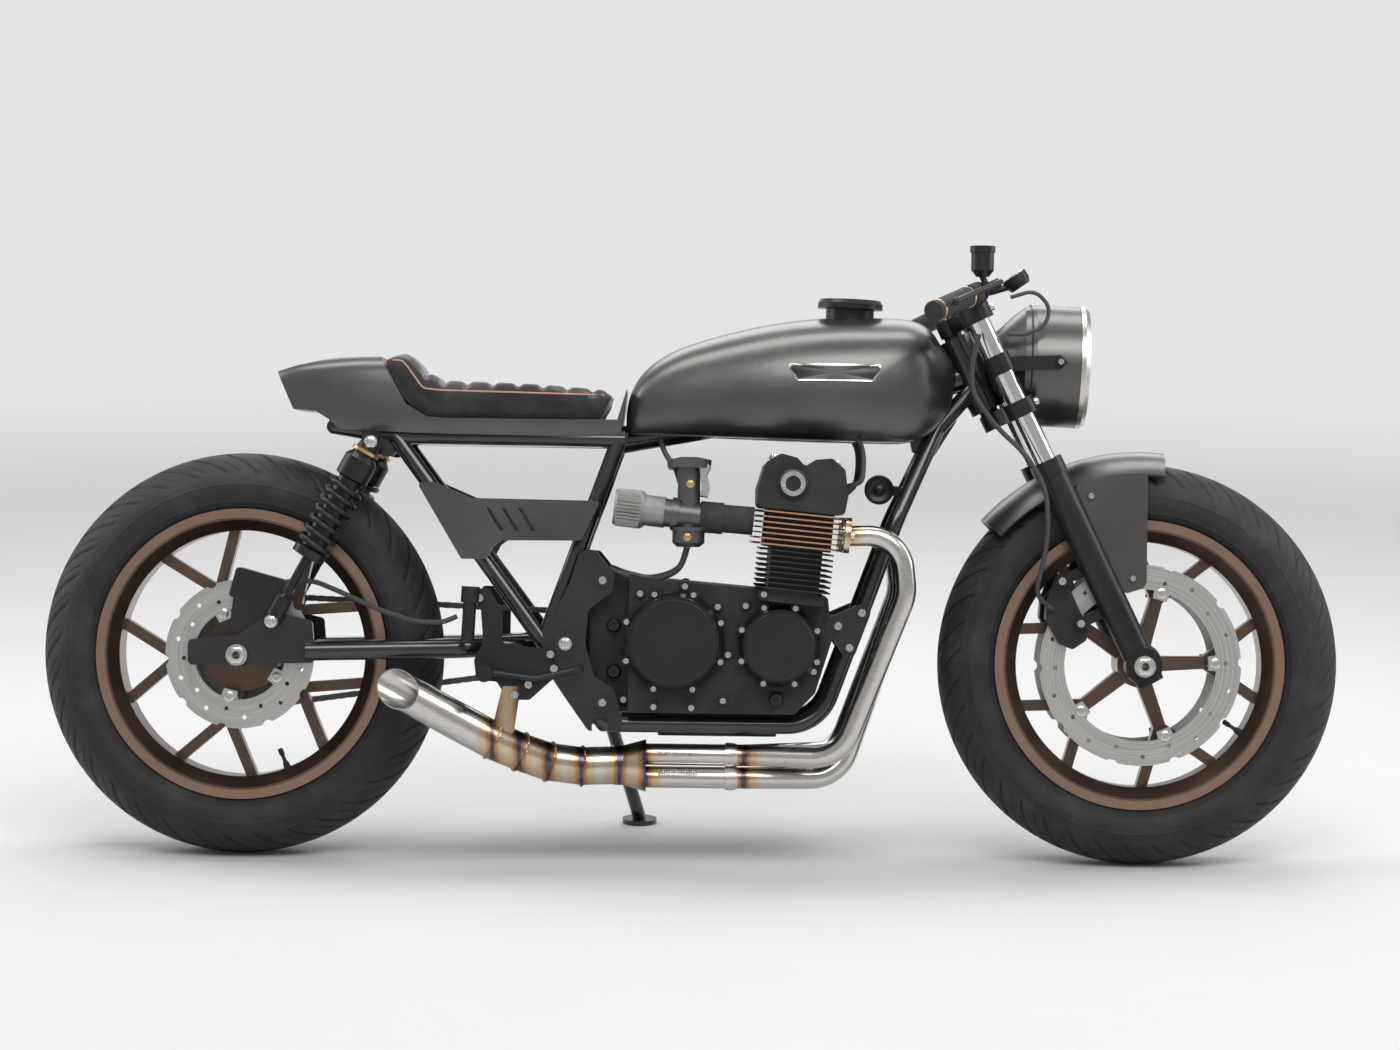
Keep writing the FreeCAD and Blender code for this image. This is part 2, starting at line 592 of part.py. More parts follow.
def brake_disc(label, place, y, sides, outer, inner, bolt_radius, tab):
    """Wave brake disc with five lugs inside its ring, notches round its rim and two rows of drilled holes."""
    body = doc.addObject("PartDesign::Body", label + "_body")
    ring = sketch_in(body, "XZ_Plane", label + "_ring", -y)
    draw_circle(ring, 0, 0, outer)
    draw_circle(ring, 0, 0, inner)
    pad(body, ring, label + "_ring_pad", "sizes.disc_thickness", symmetric=True)
    lug = sketch_in(body, "XZ_Plane", label + "_lug", -y)
    start = bolt_radius - tab
    rim = getattr(S, outer)
    hub = getattr(S, inner)
    end = (rim + hub) / 2
    draw_polygon(lug, [(start, -tab), (end, -tab * 1.4), (end, tab * 1.4), (start, tab)])
    lug_pad = pad(body, lug, label + "_lug_pad", "sizes.disc_thickness", symmetric=True)
    ring_of(body, [lug_pad], label + "_lugs", spoke_count)
    notch = sketch_in(body, "XZ_Plane", label + "_notch", -y)
    draw_circle(notch, rim + S.notch_radius - S.notch_depth, 0, "notch_radius")
    draw_circle(notch, hub + (rim - hub) * inner_hole_share, 0, "drill_radius")
    angle = math.radians(180 / notch_count)
    place_out = hub + (rim - hub) * outer_hole_share
    draw_circle(notch, place_out * math.cos(angle), place_out * math.sin(angle), "drill_radius")
    cut = body.newObject("PartDesign::Pocket", label + "_notch_cut")
    cut.Profile = notch
    cut.SideType = "Symmetric"
    cut.setExpression("Length", "4 * sizes.disc_thickness")
    ring_of(body, [cut], label + "_notches", notch_count)
    doc.recompute()
    shape = body.Shape.Solids[0]
    return solid(label, both(shape) if sides == 2 else [shape], place)


def loop_wire(near, near_radius, far, far_radius, y):
    """Belt line round two circles in the side view, as one closed wire."""
    span = far - near
    tilt = math.atan2(span.z, span.x)
    lean = math.acos((near_radius - far_radius) / span.Length)
    edges = []

    def rim_point(centre, radius, angle):
        return Vector(centre.x + radius * math.cos(angle), y, centre.z + radius * math.sin(angle))

    upper = tilt + lean
    lower = tilt - lean
    near_up = rim_point(near, near_radius, upper)
    near_low = rim_point(near, near_radius, lower)
    far_up = rim_point(far, far_radius, upper)
    far_low = rim_point(far, far_radius, lower)
    edges.append(Part.LineSegment(near_up, far_up).toShape())
    edges.append(Part.Arc(far_up, rim_point(far, far_radius, tilt), far_low).toShape())
    edges.append(Part.LineSegment(far_low, near_low).toShape())
    edges.append(Part.Arc(near_low, rim_point(near, near_radius, tilt + math.pi), near_up).toShape())
    return Part.Wire(edges)


def sprocket_radius(teeth):
    """Pitch radius of a roller chain sprocket."""
    return S.chain_pitch / 2 / math.sin(math.pi / teeth)


def sprocket_blank(teeth):
    """Toothed outline about the Y axis, with a seat for every roller."""
    radius = sprocket_radius(teeth)
    seat = S.chain_pitch * roller_share + S.running_gap
    open_angle = math.radians(seat_angle)
    tip_half = S.chain_pitch * tooth_tip_share
    tip_radius = radius + S.chain_pitch * tooth_height_share
    edges = []
    first = None
    last = None
    for tooth in range(teeth):
        angle = 2 * math.pi * tooth / teeth
        out = Vector(math.cos(angle), 0, math.sin(angle))
        along = Vector(-math.sin(angle), 0, math.cos(angle))
        enter = out * (radius - seat * math.cos(open_angle)) - along * (seat * math.sin(open_angle))
        leave = out * (radius - seat * math.cos(open_angle)) + along * (seat * math.sin(open_angle))
        if last is None:
            first = enter
        else:
            edges.append(Part.LineSegment(last, enter).toShape())
        edges.append(Part.Arc(enter, out * (radius - seat), leave).toShape())
        half_step = angle + math.pi / teeth
        tip_out = Vector(math.cos(half_step), 0, math.sin(half_step))
        tip_along = Vector(-math.sin(half_step), 0, math.cos(half_step))
        tip_start = tip_out * tip_radius - tip_along * tip_half
        last = tip_out * tip_radius + tip_along * tip_half
        edges.append(Part.LineSegment(leave, tip_start).toShape())
        edges.append(Part.LineSegment(tip_start, last).toShape())
    edges.append(Part.LineSegment(last, first).toShape())
    return Part.Face(Part.Wire(edges))


def sprocket(teeth, bore, y):
    """Chain wheel with a round centre hole."""
    face = sprocket_blank(teeth)
    plate = face.extrude(Vector(0, S.sprocket_thickness, 0))
    plate.translate(Vector(0, y - S.sprocket_thickness / 2, 0))
    hole = Part.makeCylinder(bore, S.chain_width * 2, Vector(0, y - S.chain_width, 0), LEFT)
    return plate.cut(hole)


def link_outline(near, near_reach, far, far_reach, lift, y):
    """Outline of the chain's link plates: full depth at every pin and a waist between two pins."""
    span = far - near
    tilt = math.atan2(span.z, span.x)
    lean = math.acos((near_reach - far_reach) / span.Length)
    straight = span.Length * math.sin(lean)
    far_arc = far_reach * 2 * lean
    near_arc = near_reach * 2 * (math.pi - lean)
    length = 2 * straight + far_arc + near_arc
    links = round(length / S.chain_pitch)
    step = length / links / len(link_depth_shares)
    points = []
    for index in range(links * len(link_depth_shares)):
        along = index * step
        depth = lift * link_depth_shares[index % len(link_depth_shares)]
        if along < straight:
            way = tilt + lean
            centre = near + span * (along / straight)
            reach = near_reach + (far_reach - near_reach) * along / straight
        elif along < straight + far_arc:
            way = tilt + lean - (along - straight) / far_reach
            centre = far
            reach = far_reach
        elif along < 2 * straight + far_arc:
            share = (along - straight - far_arc) / straight
            way = tilt - lean
            centre = far - span * share
            reach = far_reach + (near_reach - far_reach) * share
        else:
            way = tilt - lean - (along - 2 * straight - far_arc) / near_reach
            centre = near
            reach = near_reach
        reach += depth
        points.append(Vector(centre.x + reach * math.cos(way), y, centre.z + reach * math.sin(way)))
    return Part.Face(Part.makePolygon(points + points[:1]))


def drive_chain():
    """The closed chain loop beside the sprockets: link plates outside, a plain band inside, rollers between."""
    near = front_sprocket_point
    far = rear_axle_point
    near_radius = sprocket_radius(front_teeth)
    far_radius = sprocket_radius(rear_teeth)
    half = S.chain_depth / 2
    plate = S.chain_width * chain_plate_share
    low_y = S.chain_y - S.chain_width / 2
    high_y = S.chain_y + S.chain_width / 2 - plate
    outer = Part.Face(loop_wire(near, near_radius + half, far, far_radius + half, low_y))
    inner = Part.Face(loop_wire(near, near_radius - half, far, far_radius - half, low_y))
    band = outer.cut(inner).extrude(LEFT * plate)
    outer = link_outline(near, near_radius, far, far_radius, half, high_y)
    inner = link_outline(near, near_radius, far, far_radius, -half, high_y)
    links = outer.cut(inner).extrude(LEFT * plate)
    span = far - near
    tilt = math.atan2(span.z, span.x)
    lean = math.acos((near_radius - far_radius) / span.Length)
    rollers = []
    straight = span.Length * math.sin(lean)
    count = int(straight / S.chain_pitch) - 1
    for way in (tilt + lean, tilt - lean):
        out = Vector(math.cos(way), 0, math.sin(way))
        for index in range(2, count - 1):
            share = index * S.chain_pitch / straight
            spot = near + span * share + out * (near_radius + (far_radius - near_radius) * share)
            ring = []
            for corner in range(roller_side_count):
                turn = 2 * math.pi * corner / roller_side_count
                ring.append(spot + Vector(math.cos(turn), 0, math.sin(turn)) * (S.chain_pitch * roller_share)
                            + LEFT * (low_y + plate / 2))
            rollers.append(Part.Face(Part.makePolygon(ring + ring[:1])).extrude(LEFT * (high_y - low_y)))
    return solid("drive_chain", [band.multiFuse([links] + rollers)])


def hub_and_wheels():
    """Both wheels with their tyres, discs, the rear sprocket and the two axles."""
    cast_wheel("front_wheel", FRONT_WHEEL, S.front_tyre_radius - S.tyre_height, front_spoke_angle,
               "front_hub_radius", "bead_width_front", "front_disc_bolt_radius", "front_boss_half_width")
    cast_wheel("rear_wheel", REAR_WHEEL, S.rear_tyre_radius - S.tyre_height, rear_spoke_angle,
               "rear_hub_radius", "bead_width_rear", "rear_disc_bolt_radius", "rear_boss_half_width")
    tyre("front_tyre", FRONT_WHEEL, S.front_tyre_radius, S.front_tyre_width, S.bead_width_front)
    tyre("rear_tyre", REAR_WHEEL, S.rear_tyre_radius, S.rear_tyre_width, S.bead_width_rear)
    front_turn = Placement(front_axle_point, Rotation(LEFT, -front_spoke_angle))
    rear_turn = Placement(rear_axle_point, Rotation(LEFT, -rear_spoke_angle))
    brake_disc("front_discs", front_turn, S.front_disc_y, 2, "front_disc_radius", "front_disc_inner",
               S.front_disc_bolt_radius, S.disc_boss_radius)
    brake_disc("rear_disc", rear_turn, -S.rear_disc_y, 1, "rear_disc_radius", "rear_disc_inner",
               S.rear_disc_bolt_radius, S.disc_boss_radius)
    toothed = sprocket(rear_teeth, S.rear_hub_radius * 0.7, S.chain_y)
    inner = S.hub_half_width + S.seat_gap
    seat = S.chain_y - S.sprocket_thickness / 4
    carrier = turned([(S.axle_radius + S.running_gap, inner), (S.rear_hub_radius * 0.98, inner),
                      (S.rear_hub_radius * 0.98, seat), (S.axle_radius + S.running_gap, seat)], CENTRE, LEFT)
    for step in range(spoke_count):
        angle = math.radians(rear_spoke_angle) + 2 * math.pi * step / spoke_count
        spot = Vector(S.rear_disc_bolt_radius * math.cos(angle), 0, S.rear_disc_bolt_radius * math.sin(angle))
        carrier = carrier.cut(rod(spot, spot + LEFT * S.wheelbase, S.disc_boss_radius + S.seat_gap))
    solid("rear_sprocket", [fused([toothed, carrier])], REAR_WHEEL)
    axle("front_axle", FRONT_WHEEL, S.fork_half_spread + S.slider_radius)
    axle("rear_axle", REAR_WHEEL, S.arm_half_width + S.plate_thickness)


def axle(label, place, half):
    """Hollow axle with a nut at each end."""
    shaft = rod(Vector(0, -half - S.axle_nut_length, 0), Vector(0, half + S.axle_nut_length, 0),
                S.axle_radius, S.axle_bore)
    nut = rod(Vector(0, half + S.seat_gap, 0), Vector(0, half + S.axle_nut_length, 0),
              S.axle_nut_radius, S.axle_bore)
    return solid(label, [fused([shaft] + both(nut))], place)


def main_frame():
    """Double cradle frame: headstock, spine, downtubes, seat rails and the V of struts."""
    neck = rod(neck_low, neck_high, S.head_radius)
    hole = rod(neck_low, neck_high, S.stem_radius + S.running_gap)
    neck_mid = (neck_low + neck_high) * 0.5
    spine = pipe([neck_mid] + [at(*pair) for pair in spine_shares],
                 [S.spine_radius * 5, S.spine_radius * 3], S.spine_radius)
    shapes = [neck, spine]
    narrow = S.rail_half_width
    wide = S.strut_half_width
    low = S.cradle_half_width
    tube = S.downtube_radius
    start = neck_low + (neck_high - neck_low) * neck_join_share + LEFT * S.head_radius * 0.4
    cradle = pipe([
        start, at(*cradle_shares[0], low * 0.32), at(*cradle_shares[1], low * 0.86), at(*cradle_shares[2], low),
        at(*cradle_shares[3], low), at(*cradle_shares[4], wide), at(*cradle_shares[5], narrow)],
        [tube * 2.5, tube * 6, tube * 5.5, tube * 4, tube * 3], tube)
    junction = at(*stay_shares[0], wide)
    stay = rod(junction, at(*stay_shares[1], narrow), S.rail_radius)
    rail = pipe([at(*rail_shares[0], narrow), at(*rail_shares[1], narrow), at(*rail_shares[2], narrow * 0.6)],
                [S.rail_radius * 8], S.rail_radius)
    for shape in (cradle, stay, rail):
        shapes.extend(both(shape))
    for spot, half in ((at(*brace_shares[0]), narrow), (at(*rail_shares[1]), narrow),
                       (at(*rail_shares[2]), narrow * 0.6), (at(*brace_shares[1]), low)):
        shapes.append(rod(spot - LEFT * half, spot + LEFT * half, S.rail_radius))
    shock_top = at(*shock_top_shares)
    stud = rod(shock_top + LEFT * narrow, shock_top + LEFT * (S.shock_y - S.shock_eye_width / 2),
               S.shock_eye_radius)
    gusset = slab([at(*pair) for pair in shock_gusset_shares], narrow - S.plate_thickness / 2,
                  narrow + S.plate_thickness / 2, S.plate_thickness)
    shapes.extend(both(stud) + both(gusset))
    head_plate = slab([at(*pair) for pair in head_gusset_shares], -S.head_radius * 0.5, S.head_radius * 0.5)
    shapes.append(head_plate)
    shapes.append(stand_bolt())
    tray = [at(*pair) for pair in seat_pan_shares]
    shapes.append(slab(tray, -S.rail_half_width, S.rail_half_width))
    frame = fused(shapes).cut(hole)
    solid("main_frame", [frame])
    return frame


def fork_point(height, ahead=0, y=0):
    """Point given in the fork's own directions, from the front axle."""
    return FORK.multVec(Vector(ahead, y, height))


def pivot_plates(frame):
    """Plates on the cradle that hold the swingarm pivot and the rear engine mounts."""
    outline = [at(*pair) for pair in pivot_plate_shares]
    inner = S.strut_half_width + S.downtube_radius * 0.4
    outer = inner + S.plate_thickness
    plate = slab(outline, inner, outer, S.plate_thickness).cut(frame)
    bolts = []
    for spot, radius in engine_bolt_places():
        shank = rod(spot - LEFT * outer, spot + LEFT * outer, radius)
        head = rod(spot + LEFT * outer, spot + LEFT * (outer + radius), radius * 1.7)
        bolts.append(fused([shank] + both(head)))
    return both(plate), bolts


def engine_bolt_places():
    """Swingarm pivot and rear engine mounts, with the radius of each bolt."""
    places = [(at(*pivot_shares), S.pivot_bolt_radius)]
    for pair in engine_bolt_shares:
        places.append((at(*pair), S.mount_bolt_radius))
    return places


def swingarm():
    """Tubular swingarm with axle plates and its pivot tube."""
    pivot = at(*pivot_shares)
    arm = pipe([at(*arm_shares[0], S.arm_half_width), at(*arm_shares[1], S.arm_half_width),
                Vector(pivot.x, S.pivot_half_width - S.arm_radius, pivot.z)], [S.arm_radius * 5],
               S.arm_radius)
    tube = rod(pivot - LEFT * S.pivot_half_width, pivot + LEFT * S.pivot_half_width, S.arm_radius * 1.25)
    outline = [at(*pair) for pair in axle_plate_shares]
    half = S.plate_thickness / 2
    plate = slab(outline, S.arm_half_width - half, S.arm_half_width + half, S.plate_thickness)
    lug = rod(at(*shock_foot_shares, S.arm_half_width + half),
              at(*shock_foot_shares, S.shock_y - S.shock_eye_width / 2), S.shock_eye_radius)
    brace_at = at(*arm_brace_shares)
    brace_half = (S.pivot_half_width + S.arm_half_width) / 2
    brace = rod(brace_at - LEFT * brace_half, brace_at + LEFT * brace_half, S.arm_radius * 0.8)
    shape = fused(both(arm) + both(plate) + both(lug) + [tube, brace])
    hole = rod(rear_axle_point - LEFT * S.wheelbase, rear_axle_point + LEFT * S.wheelbase,
               S.axle_radius + S.running_gap)
    pin = rod(pivot - LEFT * S.wheelbase, pivot + LEFT * S.wheelbase, S.pivot_bolt_radius + S.running_gap)
    arm_shape = shape.cut(hole).cut(pin)
    solid("swingarm", [arm_shape])
    return arm_shape


def shocks(frame, carrier):
    """Twin shock absorbers: bodies with eyes, and their coil springs."""
    top = at(*shock_top_shares, S.shock_y)
    foot = at(*shock_foot_shares, S.shock_y)
    run = top - foot
    along = Vector(run).normalize()
    length = run.Length
    rod_radius = S.shock_rod_radius
    tube = S.shock_tube_radius
    profile = [(0, 0), (rod_radius * 2, 0), (rod_radius * 2, length * 0.13), (rod_radius, length * 0.15),
               (rod_radius, length * 0.35), (S.shock_radius, length * 0.36), (S.shock_radius, length * 0.40),
               (tube, length * 0.41), (tube, length * 0.79), (S.shock_radius, length * 0.80),
               (S.shock_radius, length * 0.90), (tube, length * 0.93), (tube * 0.8, length), (0, length)]
    body = turned(profile, foot, along)
    half = LEFT * S.shock_eye_width / 2
    eyes = [rod(end - half, end + half, S.shock_eye_radius) for end in (foot, top)]
    damper = fused([body] + eyes).cut(frame).cut(carrier)
    span = length * 0.4 - S.spring_wire_radius * 2.6
    coil = Part.makeHelix(span / spring_turn_count, span, S.spring_radius - S.spring_wire_radius)
    wire_ring = Part.Wire(Part.makeCircle(S.spring_wire_radius,
                                          Vector(S.spring_radius - S.spring_wire_radius, 0, 0), LEFT))
    spring = Part.Wire(coil.Edges).makePipeShell([wire_ring], True, True)
    start = foot + along * (length * 0.4 + S.spring_wire_radius * 1.3)
    spring = spring.transformed(Placement(start, Rotation(UP, along)).toMatrix(), True)
    return solid("shocks", both(damper) + both(spring))


def crankcase(frame, plates, bolts):
    """Crankcase with the narrower gearbox behind it, its chain wheel, the sump and the front mounting lug."""
    wide = S.crank_half_width
    narrow = S.gearbox_half_width
    outline = [at(*pair) for pair in crankcase_shares]
    whole = slab(outline, -wide, wide, S.plate_thickness)
    keep_out = Part.makeBox(S.wheelbase, wide, S.wheelbase)
    for split, low_y in ((gearbox_split_share, -wide - narrow),
                         (chain_split_share, S.chain_y - S.chain_width / 2 - S.chain_gap)):
        whole = whole.cut(keep_out.translated(Vector(at(split, 0).x - S.wheelbase, low_y, 0)))
    sump = slab([at(*pair) for pair in sump_shares], -S.sump_half_width, S.sump_half_width)
    deck = Part.makeBox(S.barrel_core_depth * 1.25, 2 * S.barrel_half_width * 0.93, S.fin_pitch * 2,
                        Vector(-S.barrel_core_depth * 0.62, -S.barrel_half_width * 0.93, -S.fin_pitch * 2))
    deck = deck.transformed(CYLINDERS.toMatrix(), True)
    lug_at = at(*front_lug_shares)
    lug = rod(lug_at - LEFT * S.lug_half_width, lug_at + LEFT * S.lug_half_width, S.lug_radius)
    shaft = rod(front_sprocket_point, front_sprocket_point + LEFT * (S.chain_y + S.sprocket_thickness),
                S.axle_radius)
    rear_lugs = []
    for pair in engine_bolt_shares:
        spot = at(*pair)
        rear_lugs.append(rod(spot - LEFT * narrow, spot + LEFT * narrow, S.lug_radius * 1.2))
    chain_wheel = sprocket(front_teeth, S.axle_radius * 0.5, S.chain_y).translated(front_sprocket_point)
    shape = fused([whole, sump, deck, lug, shaft, chain_wheel] + rear_lugs)
    for spot, radius in engine_bolt_places()[1:]:
        shape = shape.cut(rod(spot - LEFT * wide, spot + LEFT * wide, radius + S.running_gap))
    start = S.lug_half_width + S.seat_gap
    plate = slab([at(*pair) for pair in front_bracket_shares], start, start + S.plate_thickness * 0.75,
                 S.plate_thickness * 0.8)
    for pair in bracket_bolt_shares:
        spot = at(*pair)
        plate = plate.fuse(rod(spot + LEFT * S.cradle_half_width, spot + LEFT * start, S.mount_bolt_radius))
        plate = plate.fuse(rod(spot + LEFT * start, spot + LEFT * (start + S.plate_thickness * 1.4),
                               S.mount_bolt_radius * 1.3))
    plate = plate.fuse(rod(lug_at + LEFT * start, lug_at + LEFT * (start + S.plate_thickness * 1.4), S.lug_radius))
    fronts = both(max(plate.cut(frame).cut(shape).Solids, key=lambda piece: piece.Volume))
    solid("crankcase", [shape])
    solid("engine_mounts", fused(plates + bolts).Solids + fronts)
    return shape


def covers(case):
    """Round side covers of the clutch, the ignition and the generator."""
    inner = S.crank_half_width
    clutch = at(*clutch_shares)
    generator = at(*generator_shares)
    shapes = []
    for side, spot, radius in ((-1, clutch, S.clutch_cover_radius), (-1, generator, S.generator_cover_radius),
                               (1, generator, S.generator_cover_radius)):
        depth = S.cover_half_width - inner
        face = radius * cover_face_share
        profile = [(0, 0), (radius, 0), (radius, depth * 0.25), (radius * 0.965, depth * 0.33),
                   (face * 1.06, depth * 0.72), (face * 1.06, depth * 0.80), (face, depth * 0.80),
                   (face, depth * 0.97), (face * 0.97, depth), (0, depth)]
        cover = turned(profile, Vector(spot.x, side * inner, spot.z), LEFT * side)
        for index in range(cover_screw_count):
            angle = 2 * math.pi * (index + 0.5) / cover_screw_count
            place = Vector(spot.x + radius * math.cos(angle), side * inner, spot.z + radius * math.sin(angle))
            cover = cover.fuse(rod(place, place + LEFT * side * depth * 0.45, S.mount_bolt_radius * 1.1))
        cover = cover.removeSplitter().cut(case)
        shapes.append(max(cover.Solids, key=lambda piece: piece.Volume))
    return solid("case_covers", shapes)


def fin_block(label, base, count, core_depth, core_half, fin_depth, fin_half):
    """Finned casting in the cylinders' own directions: a core and evenly spaced fins."""
    body = doc.addObject("PartDesign::Body", label)
    core = sketch_in(body, "XY_Plane", label + "_core", base)
    half = core_depth / 2
    draw_polygon(core, [(-half, -core_half), (half, -core_half), (half, core_half), (-half, core_half)])
    core_pad = body.newObject("PartDesign::Pad", label + "_core_pad")
    core_pad.Profile = core
    core_pad.setExpression("Length", "%d * sizes.fin_pitch" % count)
    fin = sketch_in(body, "XY_Plane", label + "_fin", base + (S.fin_pitch - S.fin_thickness) / 2)
    deep = fin_depth / 2
    cut = fin_depth * fin_corner_share
    draw_polygon(fin, [(-deep, -fin_half + cut), (-deep + cut, -fin_half), (deep - cut, -fin_half),
                       (deep, -fin_half + cut), (deep, fin_half - cut), (deep - cut, fin_half),
                       (-deep + cut, fin_half), (-deep, fin_half - cut)])
    fin_pad = body.newObject("PartDesign::Pad", label + "_fin_pad")
    fin_pad.Profile = fin
    fin_pad.setExpression("Length", "sizes.fin_thickness")
    row_axis = [feature for feature in body.Origin.OriginFeatures if feature.Role == "Z_Axis"][0]
    stack = body.newObject("PartDesign::LinearPattern", label + "_stack")
    stack.Originals = [fin_pad]
    stack.Direction = (row_axis, [""])
    stack.Length = S.fin_pitch * (count - 1)
    stack.Occurrences = count
    body.Tip = stack
    return keep(body, label, CYLINDERS)


def cylinders():
    """Finned barrels and head, and the cam cover over them."""
    head_base = S.fin_pitch * barrel_fin_count
    fin_block("cylinder_block", 0, barrel_fin_count, S.barrel_core_depth, S.barrel_half_width * 0.95,
              S.barrel_depth, S.barrel_half_width)
    fin_block("cylinder_head", head_base + S.seat_gap, head_fin_count, S.head_core_depth,
              S.head_half_width * 0.95, S.head_depth, S.head_half_width)
    base = head_base + S.fin_pitch * head_fin_count + 2 * S.seat_gap
    outline = [Vector(x_share * S.head_depth, 0, base + z_share * S.cam_cover_height)
               for x_share, z_share in cam_cover_shares]
    cover = slab(outline, -S.head_half_width * 0.97, S.head_half_width * 0.97, S.plate_thickness)
    middle = base + S.cam_cover_height * 0.48
    end = S.head_half_width * 0.97
    cap_radius = S.head_depth * 0.16
    cap = turned([(0, 0), (cap_radius, 0), (cap_radius, S.plate_thickness), (cap_radius * 0.85,
                 S.plate_thickness * 1.5), (0, S.plate_thickness * 1.5)],
                 Vector(-cap_radius * 0.75, end, middle), LEFT)
    solid("cam_cover", [fused([cover] + both(cap))], CYLINDERS)


def exhaust_port(y):
    """Centre of an exhaust port's face at the front of the head."""
    height = S.fin_pitch * (barrel_fin_count + head_fin_count * 0.5)
    return CYLINDERS.multVec(Vector(S.head_depth / 2 + S.running_gap, y, height))


def intake():
    """Four carburettors with their rubbers and pod filters."""
    bodies = []
    rubbers = []
    filters = []
    radius = S.carb_radius
    port_out = CYLINDERS.Rotation.multVec(AHEAD)
    for y in cylinder_rows():
        mouth = at(*carb_rear_shares, y)
        spigot = at(*carb_front_shares, y)
        port = CYLINDERS.multVec(Vector(-S.head_depth / 2 - S.seat_gap, y,
                                        S.fin_pitch * (barrel_fin_count + head_fin_count * 0.62)))
        line = (spigot - mouth).normalize()
        axis_at = at(*carb_tower_shares, y)
        tower = [(0, -radius * 2.3), (radius * 0.8, -radius * 2.3), (radius * 1.15, -radius * 2.0),
                 (radius * 1.15, -radius * 1.15), (radius * 1.3, -radius * 1.15),
                 (radius * 1.3, -radius * 0.9), (radius * 0.8, -radius * 0.8), (radius * 0.8, radius * 3.3),
                 (radius * 1.55, radius * 3.35), (radius * 1.6, radius * 3.9), (radius * 0.6, radius * 4.1),
                 (0, radius * 4.1)]
        barrel = rod(mouth, spigot, radius)
        collar = rod(mouth + line * radius * 0.5, mouth + line * radius, radius * 1.15)
        body = fused([barrel, collar, turned(tower, axis_at)])
        square = port - port_out * radius * 0.5
        rubber = fused([rod(spigot + line * S.seat_gap, spigot + (square - spigot) * 0.5, radius * 1.12),
                        rod(spigot + (square - spigot) * 0.3, square, radius),
                        Part.makeSphere(radius, square), rod(square, port, radius)])
        rubber = rubber.cut(body).cut(rod(port, port + port_out * radius * 2, radius * 2))
        bodies.append(body)
        rubbers.append(max(rubber.Solids, key=lambda piece: piece.Volume))
        filters.append(pod_filter(mouth, line))
    solid("carburettors", bodies)
    solid("intake_rubbers", rubbers)
    solid("pod_filters", filters)


def pod_filter(mouth, line):
    """Pleated pod filter on its neck behind a carburettor."""
    neck = S.carb_radius * 1.1
    radius = S.filter_radius
    start = mouth - line * S.seat_gap
    neck_end = start - line * S.filter_neck
    end = neck_end - line * S.filter_length
    pleats = []
    for pleat in range(filter_pleat_count):
        half_step = math.pi / filter_pleat_count
        for step, reach in ((0, radius), (1, radius * filter_root_share)):
            angle = (2 * pleat + step) * half_step
            pleats.append(Vector(reach * math.cos(angle), reach * math.sin(angle), 0))
    body = Part.Face(Part.makePolygon(pleats + pleats[:1])).extrude(UP * S.filter_length)
    body = body.transformed(Placement(end, Rotation(UP, line)).toMatrix(), True)
    caps = [rod(end, end - line * S.plate_thickness * 0.5, radius * 0.93),
            rod(neck_end, neck_end + line * S.plate_thickness * 0.5, radius * 0.93)]
    return fused([rod(start, neck_end, neck), body] + caps)


def cylinder_rows():
    """Places across the machine of the four cylinders."""
    return (-S.outer_port_y, -S.inner_port_y, S.inner_port_y, S.outer_port_y)


